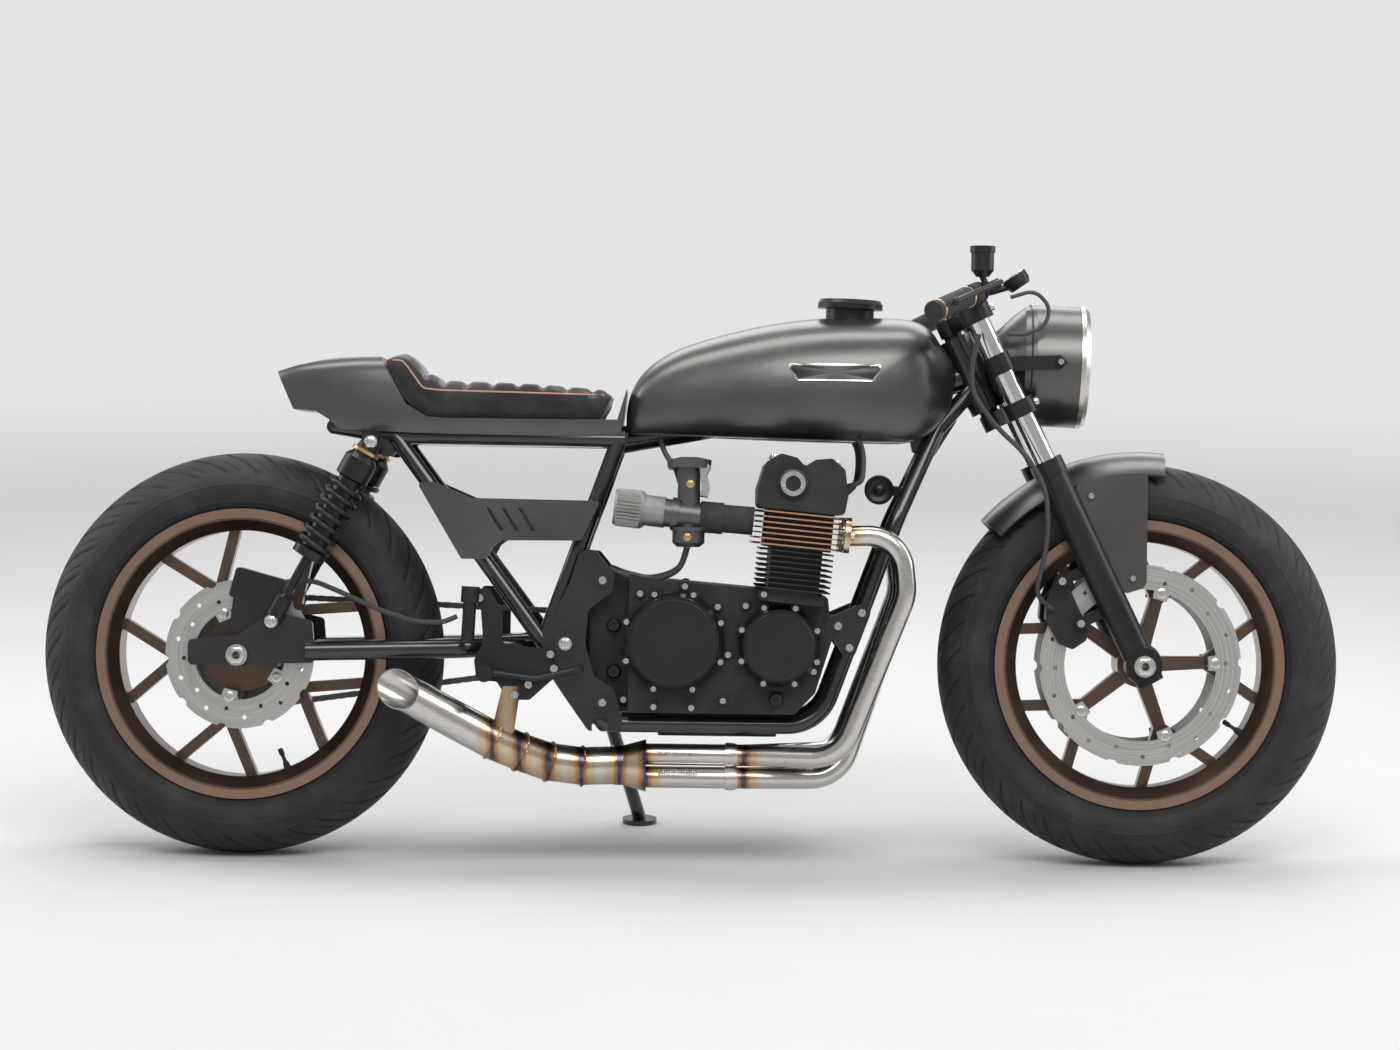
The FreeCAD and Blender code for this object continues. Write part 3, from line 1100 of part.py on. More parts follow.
def exhaust():
    """Four headers into one collector, and the lobster-back pipe with its slash-cut end."""
    gap = S.header_spacing
    left_row = -S.collector_y + gap / 2
    right_row = -S.collector_y - gap / 2
    upper = at(*header_run_shares).z
    lower = upper - gap
    runs = ((-S.outer_port_y, right_row, upper), (-S.inner_port_y, right_row, lower),
            (S.inner_port_y, left_row, lower), (S.outer_port_y, left_row, upper))
    radius = S.header_radius
    port_out = CYLINDERS.Rotation.multVec(AHEAD)
    headers = []
    for y, row, height in runs:
        start = exhaust_port(y) + port_out * S.seat_gap
        square = start + port_out * S.flange_thickness * 1.3
        crest = at(*crest_shares, y)
        knee = at(*knee_shares, y)
        drop = Vector(at(drop_share, 0).x, (y * 2 + row) / 3, height)
        merge = Vector(at(merge_share, 0).x, row, height)
        end = Vector(at(collector_share, 0).x, row, height)
        line = pipe([start, square, crest, knee, drop, merge, end],
                    [radius * 1.5, radius * 3.6, radius * 4.5, radius * 4, radius * 4], radius)
        flange = rod(start, start + port_out * S.flange_thickness, radius * 1.75)
        headers.append(fused([line, flange]))
    solid("exhaust_headers", headers)
    middle = Vector(at(collector_share, 0).x - S.seat_gap, (left_row + right_row) / 2, upper - gap / 2)
    reach = math.hypot(gap / 2, gap / 2) + radius
    points = [at(x_share, z_share, middle.y + (-S.muffler_y - middle.y) * across)
              for x_share, z_share, across in lobster_shares]
    cone = Part.makeCone(reach, S.pipe_radius, (points[0] - middle).Length, middle, points[0] - middle)
    ring = Part.Wire(Part.makeCircle(S.pipe_radius, points[0], points[1] - points[0]))
    main = Part.makePolygon(points).makePipeShell([ring], True, False, 1)
    welds = []
    for before, corner, after in zip(points, points[1:], points[2:]):
        way = (after - before).normalize()
        welds.append(rod(corner - way * S.weld_width / 2, corner + way * S.weld_width / 2,
                         S.pipe_radius + S.weld_height))
    way = (points[1] - points[0]).normalize()
    collar = rod(points[0] - way * S.weld_width * 2, points[0] + way * S.weld_width * 2,
                 S.pipe_radius + S.weld_height * 1.5)
    bore_end = points[-1]
    away = (points[-1] - points[-2]).normalize()
    shape = fused([cone, main, collar] + welds)
    depth = S.pipe_radius * 2
    shape = shape.cut(rod(bore_end - away * depth, bore_end, S.pipe_radius - S.pipe_wall))
    face = -(rearset_face() + S.seat_gap)
    hanger = slab([at(*pair) for pair in hanger_shares], face - S.plate_thickness * 0.6, face, S.plate_thickness * 0.6)
    spot = at(*hanger_bolt_shares, face)
    screw = rod(spot, spot - LEFT * S.plate_thickness * 1.2, S.mount_bolt_radius * 1.2)
    shape = fused([shape, hanger, screw])
    hollow = rod(bore_end - away * depth, bore_end, S.pipe_radius - S.pipe_wall)
    solid("exhaust_pipe", [shape.cut(hollow), muffler_tip(bore_end, away)])


def muffler_tip(start, away):
    """Slash-cut end of the muffler, cut to face outward."""
    radius = S.pipe_radius * 1.02
    length = radius * 5
    tube = rod(start + away * S.seat_gap, start + away * length, radius, radius - S.pipe_wall)
    out = Vector(0, -1, 0)
    face = (away * math.cos(math.radians(slash_angle)) + out * math.sin(math.radians(slash_angle))).normalize()
    centre = start + away * radius * slash_place_share
    block = Part.makeBox(length * 4, length * 4, length * 4, Vector(-length * 2, -length * 2, 0))
    block = block.transformed(Placement(centre, Rotation(UP, face)).toMatrix(), True)
    return tube.cut(block)


def hull(stations, rows):
    """Lofted shell through cross sections: each station gives x, bottom, top and half width."""
    wires = []
    for place, bottom, top, half in stations:
        points = []
        for across, up in rows:
            points.append(Vector(place, half * across, bottom + (top - bottom) * up))
        curve = Part.BSplineCurve()
        back = [Vector(point.x, -point.y, point.z) for point in reversed(points[:-1])]
        curve.interpolate(points + back)
        edges = [curve.toShape(), Part.LineSegment(back[-1], points[0]).toShape()]
        wires.append(Part.Wire(edges))
    return Part.makeLoft(wires, True, False)


def lofted(stations_shares, rows, half):
    """Hull through stations given in shares, with its half width as a share too."""
    stations = []
    for x_share, bottom, top, width in stations_shares:
        stations.append((at(x_share, bottom).x, at(x_share, bottom).z, at(x_share, top).z, half * width))
    return hull(stations, rows)


def fuel_tank(frame):
    """Long tank over the spine, with the welded lip round its foot."""
    half = S.tank_half_width
    shell = lofted(tank_stations_shares, tank_section_shares, half)
    foot = tank_section_shares[0][0]
    frames = []
    for x_share, bottom, top, width in tank_stations_shares[1:11]:
        place = at(x_share, bottom)
        reach = half * width * foot + S.seam_lip
        corners = [Vector(place.x, -reach, place.z), Vector(place.x, reach, place.z),
                   Vector(place.x, reach, place.z + S.seam_height), Vector(place.x, -reach, place.z + S.seam_height)]
        frames.append(Part.makePolygon(corners + corners[:1]))
    lip = Part.makeLoft(frames, True, False)
    tunnel = slab([at(*pair) for pair in tank_tunnel_shares], -S.head_radius * 1.2, S.head_radius * 1.2)
    tank = shell.fuse(lip).cut(tunnel)
    low = S.upper_clamp_height - S.clamp_thickness
    lift = S.clamp_thickness * 3
    reach = S.wheelbase
    near = Part.makeBox(reach, reach * 2, lift, Vector(-S.clamp_offset - S.stem_radius * 1.8, -reach, low))
    tank = tank.cut(near.transformed(FORK.toMatrix(), True))
    for height, rise, back, inside in (
            (low, lift, S.clamp_offset * 2.1, S.fork_half_spread * 0.7),
            (S.lower_clamp_height, S.upper_clamp_height - S.lower_clamp_height, S.clamp_offset * 1.8,
             S.fork_half_spread * 0.84)):
        side = Part.makeBox(reach, reach, rise, Vector(-back, inside, height))
        for block in both(side):
            tank = tank.cut(block.transformed(FORK.toMatrix(), True))
    tank = max(tank.cut(frame).Solids, key=lambda piece: piece.Volume)
    solid("fuel_tank", [tank])
    base = at(*cap_shares) - UP * S.seam_lip * 2
    radius = S.cap_radius
    profile = [(0, 0), (radius * 0.74, 0), (radius * 0.74, radius * 0.52), (radius, radius * 0.52),
               (radius, radius * 0.68), (radius * 0.92, radius * 0.8), (0, radius * 0.8)]
    cap = turned(profile, base, Rotation(LEFT, cap_tilt_angle).multVec(UP))
    solid("filler_cap", [cap.cut(tank)])


def seat_and_tail(frame):
    """Solo seat pad with its rolls, and the tail cowl under it."""
    pad_hull = lofted(seat_stations_shares, seat_section_shares, S.tail_half_width)
    pad_shape = pad_hull.common(slab([at(*pair) for pair in seat_shares], -S.wheelbase, S.wheelbase))
    for pair in seam_shares:
        middle = at(*pair) + UP * S.plate_thickness * 0.3
        groove = rod(middle - LEFT * S.tail_half_width * 1.2, middle + LEFT * S.tail_half_width * 1.2,
                     S.plate_thickness * 0.6)
        pad_shape = pad_shape.cut(groove)
    solid("seat_pad", [pad_shape])
    tail_hull = lofted(tail_stations_shares, tail_section_shares, S.tail_half_width)
    cowl = tail_hull.common(slab([at(*pair) for pair in tail_shares], -S.wheelbase, S.wheelbase)).cut(frame)
    solid("tail_cowl", [cowl.Solids[0]])


def side_panels(frame):
    """Number-board panels in the triangle under the seat."""
    outline = [at(*pair) for pair in panel_shares]
    panel = slab(outline, S.panel_y, S.panel_y + S.panel_thickness, S.plate_thickness * 0.6)
    for pair in slot_shares:
        base = at(*pair)
        width = S.plate_thickness * 0.9
        drop = Vector(width * 3.2, 0, -width * 5)
        corners = [base, base + drop, base + drop + AHEAD * width, base + AHEAD * width]
        panel = panel.cut(slab(corners, S.panel_y - S.panel_thickness, S.panel_y + S.panel_thickness * 2))
    for pair in panel_post_shares:
        spot = at(*pair)
        post = rod(spot + LEFT * S.rail_half_width, spot + LEFT * (S.panel_y + S.plate_thickness / 2),
                   S.mount_bolt_radius)
        panel = panel.fuse(post)
    panel = panel.cut(frame)
    panel = max(panel.Solids, key=lambda piece: piece.Volume)
    solid("side_panels", both(panel))


def fork():
    """Triple clamps with the hollow stem, stanchions, sliders and axle clamps."""
    spread = S.fork_half_spread
    offset = S.clamp_offset
    clamp_shapes = []
    bores = []
    stem_half = S.stem_radius * 1.25
    for height in (S.lower_clamp_height, S.upper_clamp_height):
        low = height - S.clamp_thickness / 2
        boss = Part.makeCylinder(S.stanchion_radius * 1.5, S.clamp_thickness, Vector(0, spread, low))
        corners = [Vector(-offset, stem_half, low), Vector(-offset * 0.7, spread * 0.5, low),
                   Vector(-offset * 0.45, spread, low), Vector(offset * 0.2, spread, low),
                   Vector(-offset * 0.3, spread * 0.5, low)]
        outline = corners + [Vector(corner.x, -corner.y, corner.z) for corner in reversed(corners)]
        web = Part.Face(Part.makePolygon(outline + outline[:1])).extrude(UP * S.clamp_thickness)
        hub = Part.makeCylinder(stem_half, S.clamp_thickness, Vector(-offset, 0, low))
        clamp_shapes.extend(both(boss) + [web, hub])
    base = S.lower_clamp_height - S.clamp_thickness / 2
    top = S.upper_clamp_height + S.clamp_thickness / 2
    clamp_shapes.append(Part.makeCylinder(S.stem_radius, top - base, Vector(-offset, 0, base)))
    for side in (-1, 1):
        bores.append(Part.makeCylinder(S.stanchion_radius + S.running_gap, top * 2, Vector(0, side * spread, 0)))
    bores.append(Part.makeCylinder(S.stem_bore, top * 2, Vector(-offset, 0, 0)))
    clamps = fused(clamp_shapes)
    for bore in bores:
        clamps = clamps.cut(bore)
    solid("triple_clamps", [clamps], FORK)
    leg = Part.makeCylinder(S.stanchion_radius, S.bar_height + S.clamp_thickness * 0.65 - S.slider_top * 0.75,
                            Vector(0, spread, S.slider_top * 0.75))
    solid("fork_tubes", both(leg), FORK)
    legs = [fork_leg(side) for side in (1, -1)]
    solid("fork_sliders", legs, FORK)
    return legs[0]


def fork_leg(side):
    """Slider of one fork leg, with its axle clamp and the lugs that hold the caliper."""
    spread = S.fork_half_spread * side
    sleeve = turned([(0, -S.slider_foot), (S.slider_radius * 0.9, -S.slider_foot), (S.slider_radius, 0),
                     (S.slider_radius, S.slider_top - S.clamp_thickness),
                     (S.slider_radius * 1.12, S.slider_top - S.clamp_thickness),
                     (S.slider_radius * 1.12, S.slider_top), (0, S.slider_top)], LEFT * spread)
    cap = rod(LEFT * (spread - S.slider_radius), LEFT * (spread + S.slider_radius), S.axle_cap_radius)
    shapes = [sleeve, cap]
    start = S.caliper_outer_y + S.seat_gap
    for ahead, height in caliper_bolt_shares:
        spot = Vector(ahead * S.front_disc_radius, 0, height * S.front_disc_radius)
        ends = sorted([start * side, spread + S.mount_bolt_radius * side])
        shapes.append(rod(spot + LEFT * ends[0], spot + LEFT * ends[1], S.mount_bolt_radius * 1.4))
        low = min(start * side, (start + S.plate_thickness) * side)
        shapes.append(Part.makeBox(-spot.x, S.plate_thickness, S.mount_bolt_radius * 2.4,
                                   Vector(spot.x, low, spot.z - S.mount_bolt_radius * 1.2)))
    inside = Part.makeCylinder(S.stanchion_radius + S.running_gap, S.slider_top,
                               Vector(0, spread, S.slider_top * 0.75))
    hole = rod(LEFT * -S.fork_half_spread * 2, LEFT * S.fork_half_spread * 2, S.axle_radius + S.running_gap)
    return fused(shapes).cut(inside).cut(hole)


def front_calipers():
    """Calipers that straddle the front discs, with the bridge outside the rim of the disc."""
    scale = S.front_disc_radius
    outline = [Vector(ahead * scale, 0, height * scale) for ahead, height in caliper_shares]
    top = S.caliper_outer_y
    low = S.caliper_inner_y
    slot_low = S.front_disc_y - S.disc_thickness / 2 - S.caliper_gap
    slot_high = S.front_disc_y + S.disc_thickness / 2 + S.caliper_gap
    body = slab(outline, low, top, S.plate_thickness * 0.8)
    body = body.cut(rod(LEFT * slot_low, LEFT * slot_high, scale + S.caliper_gap))
    body = body.cut(rod(CENTRE, LEFT * slot_low, S.front_disc_bolt_radius + S.disc_boss_radius + S.caliper_gap))
    keep_in = rod(CENTRE, LEFT * slot_high, S.front_tyre_radius - S.tyre_height - S.rim_depth - S.caliper_rim_gap)
    outside = Part.makeBox(scale * 4, top, scale * 4, Vector(-scale * 2, slot_high, -scale * 2))
    body = body.common(fused([keep_in, outside]))
    body = max(body.Solids, key=lambda piece: piece.Volume)
    solid("front_calipers", both(body), FORK)


def front_fender(slider):
    """Short fender over the front tyre, with the plates that carry it."""
    outer = S.front_tyre_radius + S.fender_gap
    half = S.fender_half_width
    thick = S.fender_thickness
    profile = [Vector(outer - half * 0.5, -half, 0), Vector(outer, 0, 0), Vector(outer - half * 0.5, half, 0)]
    inner = [Vector(point.x - thick, point.y * (1 - thick / half), 0) for point in profile]
    edges = [Part.Arc(*profile).toShape(), Part.LineSegment(profile[2], inner[2]).toShape(),
             Part.Arc(*reversed(inner)).toShape(), Part.LineSegment(inner[0], profile[0]).toShape()]
    section = Part.Face(Part.Wire(edges))
    section.rotate(CENTRE, LEFT, -fender_start_angle)
    shell = section.revolve(CENTRE, -LEFT, fender_sweep_angle)
    shell.translate(front_axle_point)
    outline = [at(*pair) for pair in fender_plate_shares]
    start = half - S.fender_plate * 0.4
    plate = slab(outline, start, start + S.fender_plate, S.plate_thickness)
    for pair in fender_bolt_shares:
        spot = at(*pair)
        plate = plate.fuse(rod(spot + LEFT * start, spot + LEFT * (start + S.fender_plate * 1.8),
                               S.mount_bolt_radius))
    plate = plate.cut(slider.transformed(FORK.toMatrix(), True))
    plate = max(plate.Solids, key=lambda piece: piece.Volume)
    solid("front_fender", [fused([shell] + both(plate))])


def headlight():
    """Round lamp: bucket, ring, lens and the brackets on the fork tubes."""
    forward = Rotation(LEFT, 90 + lamp_tilt_angle).multVec(UP)
    base = at(*lamp_shares)
    radius = S.lamp_radius
    bucket = [(0, -radius * 1.46), (radius * 0.36, -radius * 1.46), (radius * 0.5, -radius * 1.38),
              (radius * 0.8, -radius * 1.08), (radius * 0.95, -radius * 0.9), (radius, -radius * 0.72),
              (radius, 0), (0, 0)]
    shape = turned(bucket, base, forward)
    top = S.lower_clamp_height + S.clamp_thickness * 0.75
    block = Part.makeBox(S.wheelbase, S.wheelbase, top, Vector(-S.wheelbase - S.clamp_offset * 0.2, -S.wheelbase / 2, 0))
    shape = shape.cut(block.transformed(FORK.toMatrix(), True))
    for side in (-1, 1):
        boss = Part.makeCylinder(S.stanchion_radius * 1.5 + S.mount_bolt_radius, top,
                                 Vector(0, side * S.fork_half_spread, 0))
        shape = shape.cut(boss.transformed(FORK.toMatrix(), True))
    hollow = Part.makeCylinder(S.head_radius + S.caliper_gap, S.wheelbase, Vector(-S.clamp_offset, 0, 0))
    solid("headlight_bucket", [shape.cut(hollow.transformed(FORK.toMatrix(), True))])
    ring = S.lamp_ring_radius
    depth = S.plate_thickness
    band = [(ring * 0.93, depth * 0.1), (radius * 1.01, depth * 0.1), (radius * 1.01, depth), (ring, depth * 1.9),
            (ring * 0.93, depth * 1.9)]
    solid("headlight_ring", [turned(band, base, forward)])
    glass = ring * 0.925
    dome = [(0, depth * 0.1), (glass, depth * 0.1), (glass, depth), (glass * 0.8, depth * 1.8),
            (glass * 0.4, depth * 2.3), (0, depth * 2.45)]
    solid("headlight_lens", [turned(dome, base, forward)])
    height = (base.z - S.front_tyre_radius) / math.cos(math.radians(S.rake_angle))
    sleeve_half = S.clamp_thickness * 0.6
    spread = S.fork_half_spread
    side_at = at(*lamp_bolt_shares)
    tube_at = fork_point(height)
    along = UP * S.mount_bolt_radius * 1.6
    corners = [tube_at - along, side_at - along, side_at + AHEAD * S.mount_bolt_radius * 1.6, side_at + along,
               tube_at + along]
    blade = slab(corners, radius + S.seat_gap * 4, radius + S.plate_thickness * 0.6)
    collar = Part.makeCylinder(S.stanchion_radius + S.fender_plate, sleeve_half * 2,
                               Vector(0, spread, height - sleeve_half)).transformed(FORK.toMatrix(), True)
    bolt = rod(side_at + LEFT * (radius + S.seat_gap * 4), side_at + LEFT * (radius + S.plate_thickness * 1.5),
               S.mount_bolt_radius)
    bore = Part.makeCylinder(S.stanchion_radius + S.running_gap, S.wheelbase, Vector(0, spread, 0))
    bracket = fused([blade, collar, bolt]).cut(bore.transformed(FORK.toMatrix(), True))
    solid("lamp_brackets", both(max(bracket.Solids, key=lambda piece: piece.Volume)))


def handlebars():
    """Clip-on bars with grips, levers and the brake reservoir."""
    height = S.bar_height
    spread = S.fork_half_spread
    points = [Vector(ahead * spread, across * spread, height) for ahead, across in bar_shares]
    root, elbow, end = points
    bar = pipe([root, elbow, end], [S.bar_radius * 6], S.bar_radius)
    clamp = Part.makeCylinder(S.stanchion_radius * 1.45, S.clamp_thickness * 1.1,
                              Vector(0, spread, height - S.clamp_thickness * 0.55))
    neck = Part.makeCylinder(S.bar_radius * 1.1, root.y - spread, Vector(root.x, spread, height), LEFT)
    hole = Part.makeCylinder(S.stanchion_radius + S.running_gap, height * 2, Vector(0, spread, 0))
    solid("handlebars", both(fused([clamp, neck, bar]).cut(hole)), FORK)
    way = (end - elbow).normalize()
    start = elbow + way * S.bar_radius * 2.6
    grip = rod(start, end + way * S.bar_radius * 0.5, S.grip_radius)
    grip = grip.cut(rod(elbow, end, S.bar_radius + S.running_gap))
    solid("grips", both(grip), FORK)
    mount = Vector(root.x + (elbow.x - root.x) * 0.5, (root.y + elbow.y) / 2, height)
    line = (elbow - root).normalize()
    half = S.bar_radius * 0.8
    clamps = rod(mount - line * half, mount + line * half, S.bar_radius * 1.6, S.bar_radius + S.running_gap)
    perch = rod(mount + AHEAD * S.bar_radius * 1.2, mount + AHEAD * S.lever_ahead * 1.2, S.bar_radius * 0.75)
    tip = end + AHEAD * S.lever_ahead * 1.1
    first = mount + AHEAD * (S.lever_ahead + S.bar_radius * 0.5)
    bend = elbow + AHEAD * S.lever_ahead * 1.3
    blade = pipe([first, bend, tip], [S.lever_ahead * 0.8], S.bar_radius * 0.42)
    knob = Part.makeSphere(S.bar_radius * 0.6, tip)
    lever = [clamps, perch, blade, knob]
    spot = Vector(mount.x + S.lever_ahead * 0.55, -mount.y, height)
    stem = rod(spot, spot + UP * S.bar_radius * 2.2, S.bar_radius * 0.45)
    cup = turned([(0, 0), (S.cup_radius * 0.5, 0), (S.cup_radius * 0.9, S.cup_radius * 0.5),
                  (S.cup_radius * 0.9, S.cup_radius * 1.9), (S.cup_radius, S.cup_radius * 1.9),
                  (S.cup_radius, S.cup_radius * 2.4), (0, S.cup_radius * 2.4)],
                 spot + UP * S.bar_radius * 1.8, FORK.Rotation.inverted().multVec(UP))
    solid("levers", [fused(lever), fused([mirrored(shape) for shape in lever] + [stem, cup])], FORK)
    face = at(*gauge_shares)
    back = fork_point(S.upper_clamp_height + S.clamp_thickness / 2 + S.seat_gap, -S.clamp_offset * 0.5)
    look = Rotation(LEFT, -gauge_tilt_angle).multVec(UP)
    dial = turned([(0, 0), (S.gauge_radius * 0.8, 0), (S.gauge_radius, S.gauge_radius * 0.4),
                   (S.gauge_radius, S.gauge_radius), (0, S.gauge_radius)], face, look)
    rise = FORK.Rotation.multVec(UP)
    stalk = pipe([back, back + rise * S.gauge_radius, face + look * S.gauge_radius * 0.3],
                 [S.gauge_radius * 0.7], S.bar_radius * 0.5)
    solid("gauge", [fused([dial, stalk])])


def side_stand():
    """Side stand leg on its frame bolt, out in its parking place."""
    pivot = stand_pivot
    foot = stand_foot
    leg = rod(pivot, foot + Rotation(AHEAD, S.lean_angle).multVec(UP) * S.stand_radius * 0.75, S.stand_radius)
    sole = Part.makeCylinder(S.stand_radius * 2.6, S.stand_radius * 0.7)
    sole = sole.transformed(Placement(foot, Rotation(AHEAD, S.lean_angle)).toMatrix(), True)
    hinge = rod(pivot - stand_axis * S.stand_radius, pivot + stand_axis * S.stand_radius, S.stand_radius * 1.5)
    bore = rod(pivot - stand_axis * S.stand_radius * 3, pivot + stand_axis * S.stand_radius * 3,
               S.mount_bolt_radius + S.running_gap)
    solid("side_stand", [fused([leg, sole, hinge]).cut(bore)])


def stand_bolt():
    """Bolt on the frame that the side stand turns on, with a collar below the hinge and a head above."""
    start = stand_pivot - stand_axis * S.stand_radius
    reach = S.stand_y - S.cradle_half_width
    shank = rod(stand_pivot - stand_axis * reach, stand_pivot + stand_axis * S.stand_radius * 1.5,
                S.mount_bolt_radius)
    collar = rod(stand_pivot - stand_axis * reach, start - stand_axis * S.stand_radius * 0.3,
                 S.stand_radius * 1.2)
    head = rod(stand_pivot + stand_axis * S.stand_radius * 1.15,
               stand_pivot + stand_axis * S.stand_radius * 1.7, S.stand_radius * 1.1)
    return fused([shank, collar, head])


def rear_brake():
    """Rear caliper over the disc, its arm to the swingarm, and the rearsets with pegs and pump."""
    spot = at(*rear_caliper_shares)
    scale = S.rear_disc_radius
    out = (spot - rear_axle_point).normalize()
    along = out.cross(LEFT)
    slot_low = -S.rear_disc_y - S.disc_thickness / 2 - S.caliper_gap
    slot_high = -S.rear_disc_y + S.disc_thickness / 2 + S.caliper_gap
    long_half = scale * 0.34
    near = rear_axle_point + out * scale * 0.72
    far = rear_axle_point + out * (scale + S.caliper_gap * 3)
    corners = [near - along * long_half, far - along * long_half, far + along * long_half, near + along * long_half]
    low_y = -S.caliper_rear_y
    body = slab(corners, low_y, slot_high + S.plate_thickness, S.plate_thickness * 0.7)
    slot = rod(Vector(rear_axle_point.x, slot_low, rear_axle_point.z),
               Vector(rear_axle_point.x, slot_high, rear_axle_point.z), scale + S.caliper_gap)
    body = body.cut(slot)
    foot = scale * 0.16
    arm = slab([rear_axle_point - along * foot, near - along * long_half * 0.8, near + out * foot - along * long_half * 0.8,
                near + out * foot + along * long_half * 0.8, near + along * long_half * 0.8,
                rear_axle_point + along * foot], low_y, low_y + S.plate_thickness)
    eye = rod(Vector(rear_axle_point.x, low_y, rear_axle_point.z),
              Vector(rear_axle_point.x, low_y + S.plate_thickness, rear_axle_point.z), foot)
    hole = rod(rear_axle_point - LEFT * S.wheelbase, rear_axle_point, S.axle_radius + S.running_gap)
    solid("rear_caliper", [fused([body, arm, eye]).cut(hole)])


def rearset_face():
    """Distance from the middle to the outer face of the foot rest plates."""
    inner = S.strut_half_width + S.downtube_radius * 0.4 + S.plate_thickness
    return inner + S.rearset_gap + S.plate_thickness * 0.75


def rearsets():
    """Foot rest plates with pegs outside the pivot plates, and the rear brake pump on the right."""
    inner = S.strut_half_width + S.downtube_radius * 0.4 + S.plate_thickness
    start = inner + S.rearset_gap
    plate = slab([at(*pair) for pair in rearset_shares], start, start + S.plate_thickness * 0.75,
                 S.plate_thickness * 0.8)
    shapes = [plate]
    for pair in rearset_bolt_shares:
        spot = at(*pair)
        shapes.append(rod(spot + LEFT * (inner + S.seat_gap), spot + LEFT * (start + S.plate_thickness * 1.3),
                          S.mount_bolt_radius))
    peg_at = at(*peg_shares)
    face = rearset_face()
    shapes.append(rod(peg_at + LEFT * start, peg_at + LEFT * (face + S.peg_length), S.peg_radius))
    shapes.append(rod(peg_at + LEFT * (face + S.peg_length * 0.92), peg_at + LEFT * (face + S.peg_length),
                      S.peg_radius * 1.3))
    pedal_y = face + S.bar_radius * 0.8
    heel = at(*peg_shares, face - S.plate_thickness * 0.3)
    toe = at(*pedal_toe_shares, pedal_y)
    shapes.append(rod(heel, at(*peg_shares, pedal_y + S.bar_radius * 0.7), S.peg_radius * 1.2))
    shapes.append(pipe([at(*peg_shares, pedal_y), at(*pedal_bend_shares, pedal_y), toe], [S.bar_radius * 3],
                       S.bar_radius * 0.5))
    shapes.append(rod(toe - LEFT * S.bar_radius * 0.7, toe + LEFT * S.peg_length * 0.45, S.bar_radius * 0.65))
    foot = at(*pump_low_shares)
    top = at(*pump_high_shares)
    pump_y = -(face + S.bar_radius * 0.8)
    pump = [rod(foot + LEFT * pump_y, top + LEFT * pump_y, S.bar_radius * 0.95),
            rod(foot + (top - foot) * 0.7 + LEFT * pump_y, top + LEFT * pump_y, S.bar_radius * 1.3)]
    solid("rearsets", [fused(shapes), fused([mirrored(shape) for shape in shapes] + pump)])


def hoses():
    """Brake hoses and the control cable."""
    spread = S.fork_half_spread
    front = [at(x_share, z_share, -spread * across) for x_share, z_share, across in front_hose_shares]
    lines = [hose("front brake hose", front, S.hose_radius)]
    rear = [at(x_share, z_share, -spread * across) for x_share, z_share, across in rear_hose_shares]
    solid("rear_brake_hose", [hose("rear brake hose", rear, S.hose_radius)])
    cable = [at(*pair, -spread - S.hose_radius * 1.5) for pair in cable_shares]
    lines.append(hose("control cable", cable, S.hose_radius * 0.8))
    solid("control_lines", lines)


def hose(label, points, radius):
    """Flexible line whose arcs are as large as its runs allow."""
    bends = []
    for before, corner, after in zip(points, points[1:], points[2:]):
        back = before - corner
        onward = after - corner
        shorter = min(back.Length, onward.Length)
        bends.append(arc_share * shorter * math.tan(back.getAngle(onward) / 2))
    line = pipe(points, bends, radius)
    length = line.Volume / (math.pi * radius ** 2)
    print("%s is %.0f mm long, its tightest arc has a radius of %.0f mm" % (label, length, min(bends)))
    return line


front_sprocket_point = at(*front_sprocket_shares)
stand_pivot = at(*stand_pivot_shares, S.stand_y)
lean = math.radians(S.lean_angle)
crown_radius = ((S.front_tyre_width / 2 * flank_width_share) ** 2 / (S.front_tyre_radius * crown_drop_share)
                + S.front_tyre_radius * crown_drop_share) / 2
sink = crown_radius * (1 - math.cos(lean))
foot_half = S.stand_radius * 0.7
foot_out = S.stand_foot_y * math.cos(lean)
stand_foot = Vector(stand_pivot.x + S.stand_foot_lead, foot_out, S.stand_foot_y * math.sin(lean) - sink)
folded = Vector(-1, 0.08, 0.12)
stand_axis = (stand_foot - stand_pivot).cross(folded).normalize()

neck_low = fork_point(S.lower_clamp_height + S.clamp_thickness / 2 + S.head_gap, -S.clamp_offset)
neck_high = fork_point(S.upper_clamp_height - S.clamp_thickness / 2 - S.head_gap, -S.clamp_offset)

hub_and_wheels()
drive_chain()
frame_shape = main_frame()
plate_shapes, bolt_shapes = pivot_plates(frame_shape)
arm_shape = swingarm()
shocks(frame_shape, arm_shape)
case_shape = crankcase(frame_shape, plate_shapes, bolt_shapes)
covers(case_shape)
cylinders()
intake()
exhaust()
fuel_tank(frame_shape)
seat_and_tail(frame_shape)
side_panels(frame_shape)
slider_shape = fork()
front_calipers()
front_fender(slider_shape)
headlight()
handlebars()
side_stand()
rear_brake()
rearsets()
hoses()
doc.recompute()

for thing in doc.Objects:
    if "Invalid" in thing.State or "Error" in thing.State:
        raise RuntimeError("%s did not build: %s" % (thing.Name, thing.State))

leaned = Placement(Vector(0, 0, sink), Rotation(AHEAD, -S.lean_angle))
box = FreeCAD.BoundBox()
for thing, place in pieces:
    shape = thing.Shape.copy()
    shape.Placement = leaned.multiply(place)
    box.add(shape.optimalBoundingBox(False, False))
stance = Placement(Vector(-box.Center.x, -box.Center.y, 0), Rotation()).multiply(leaned)

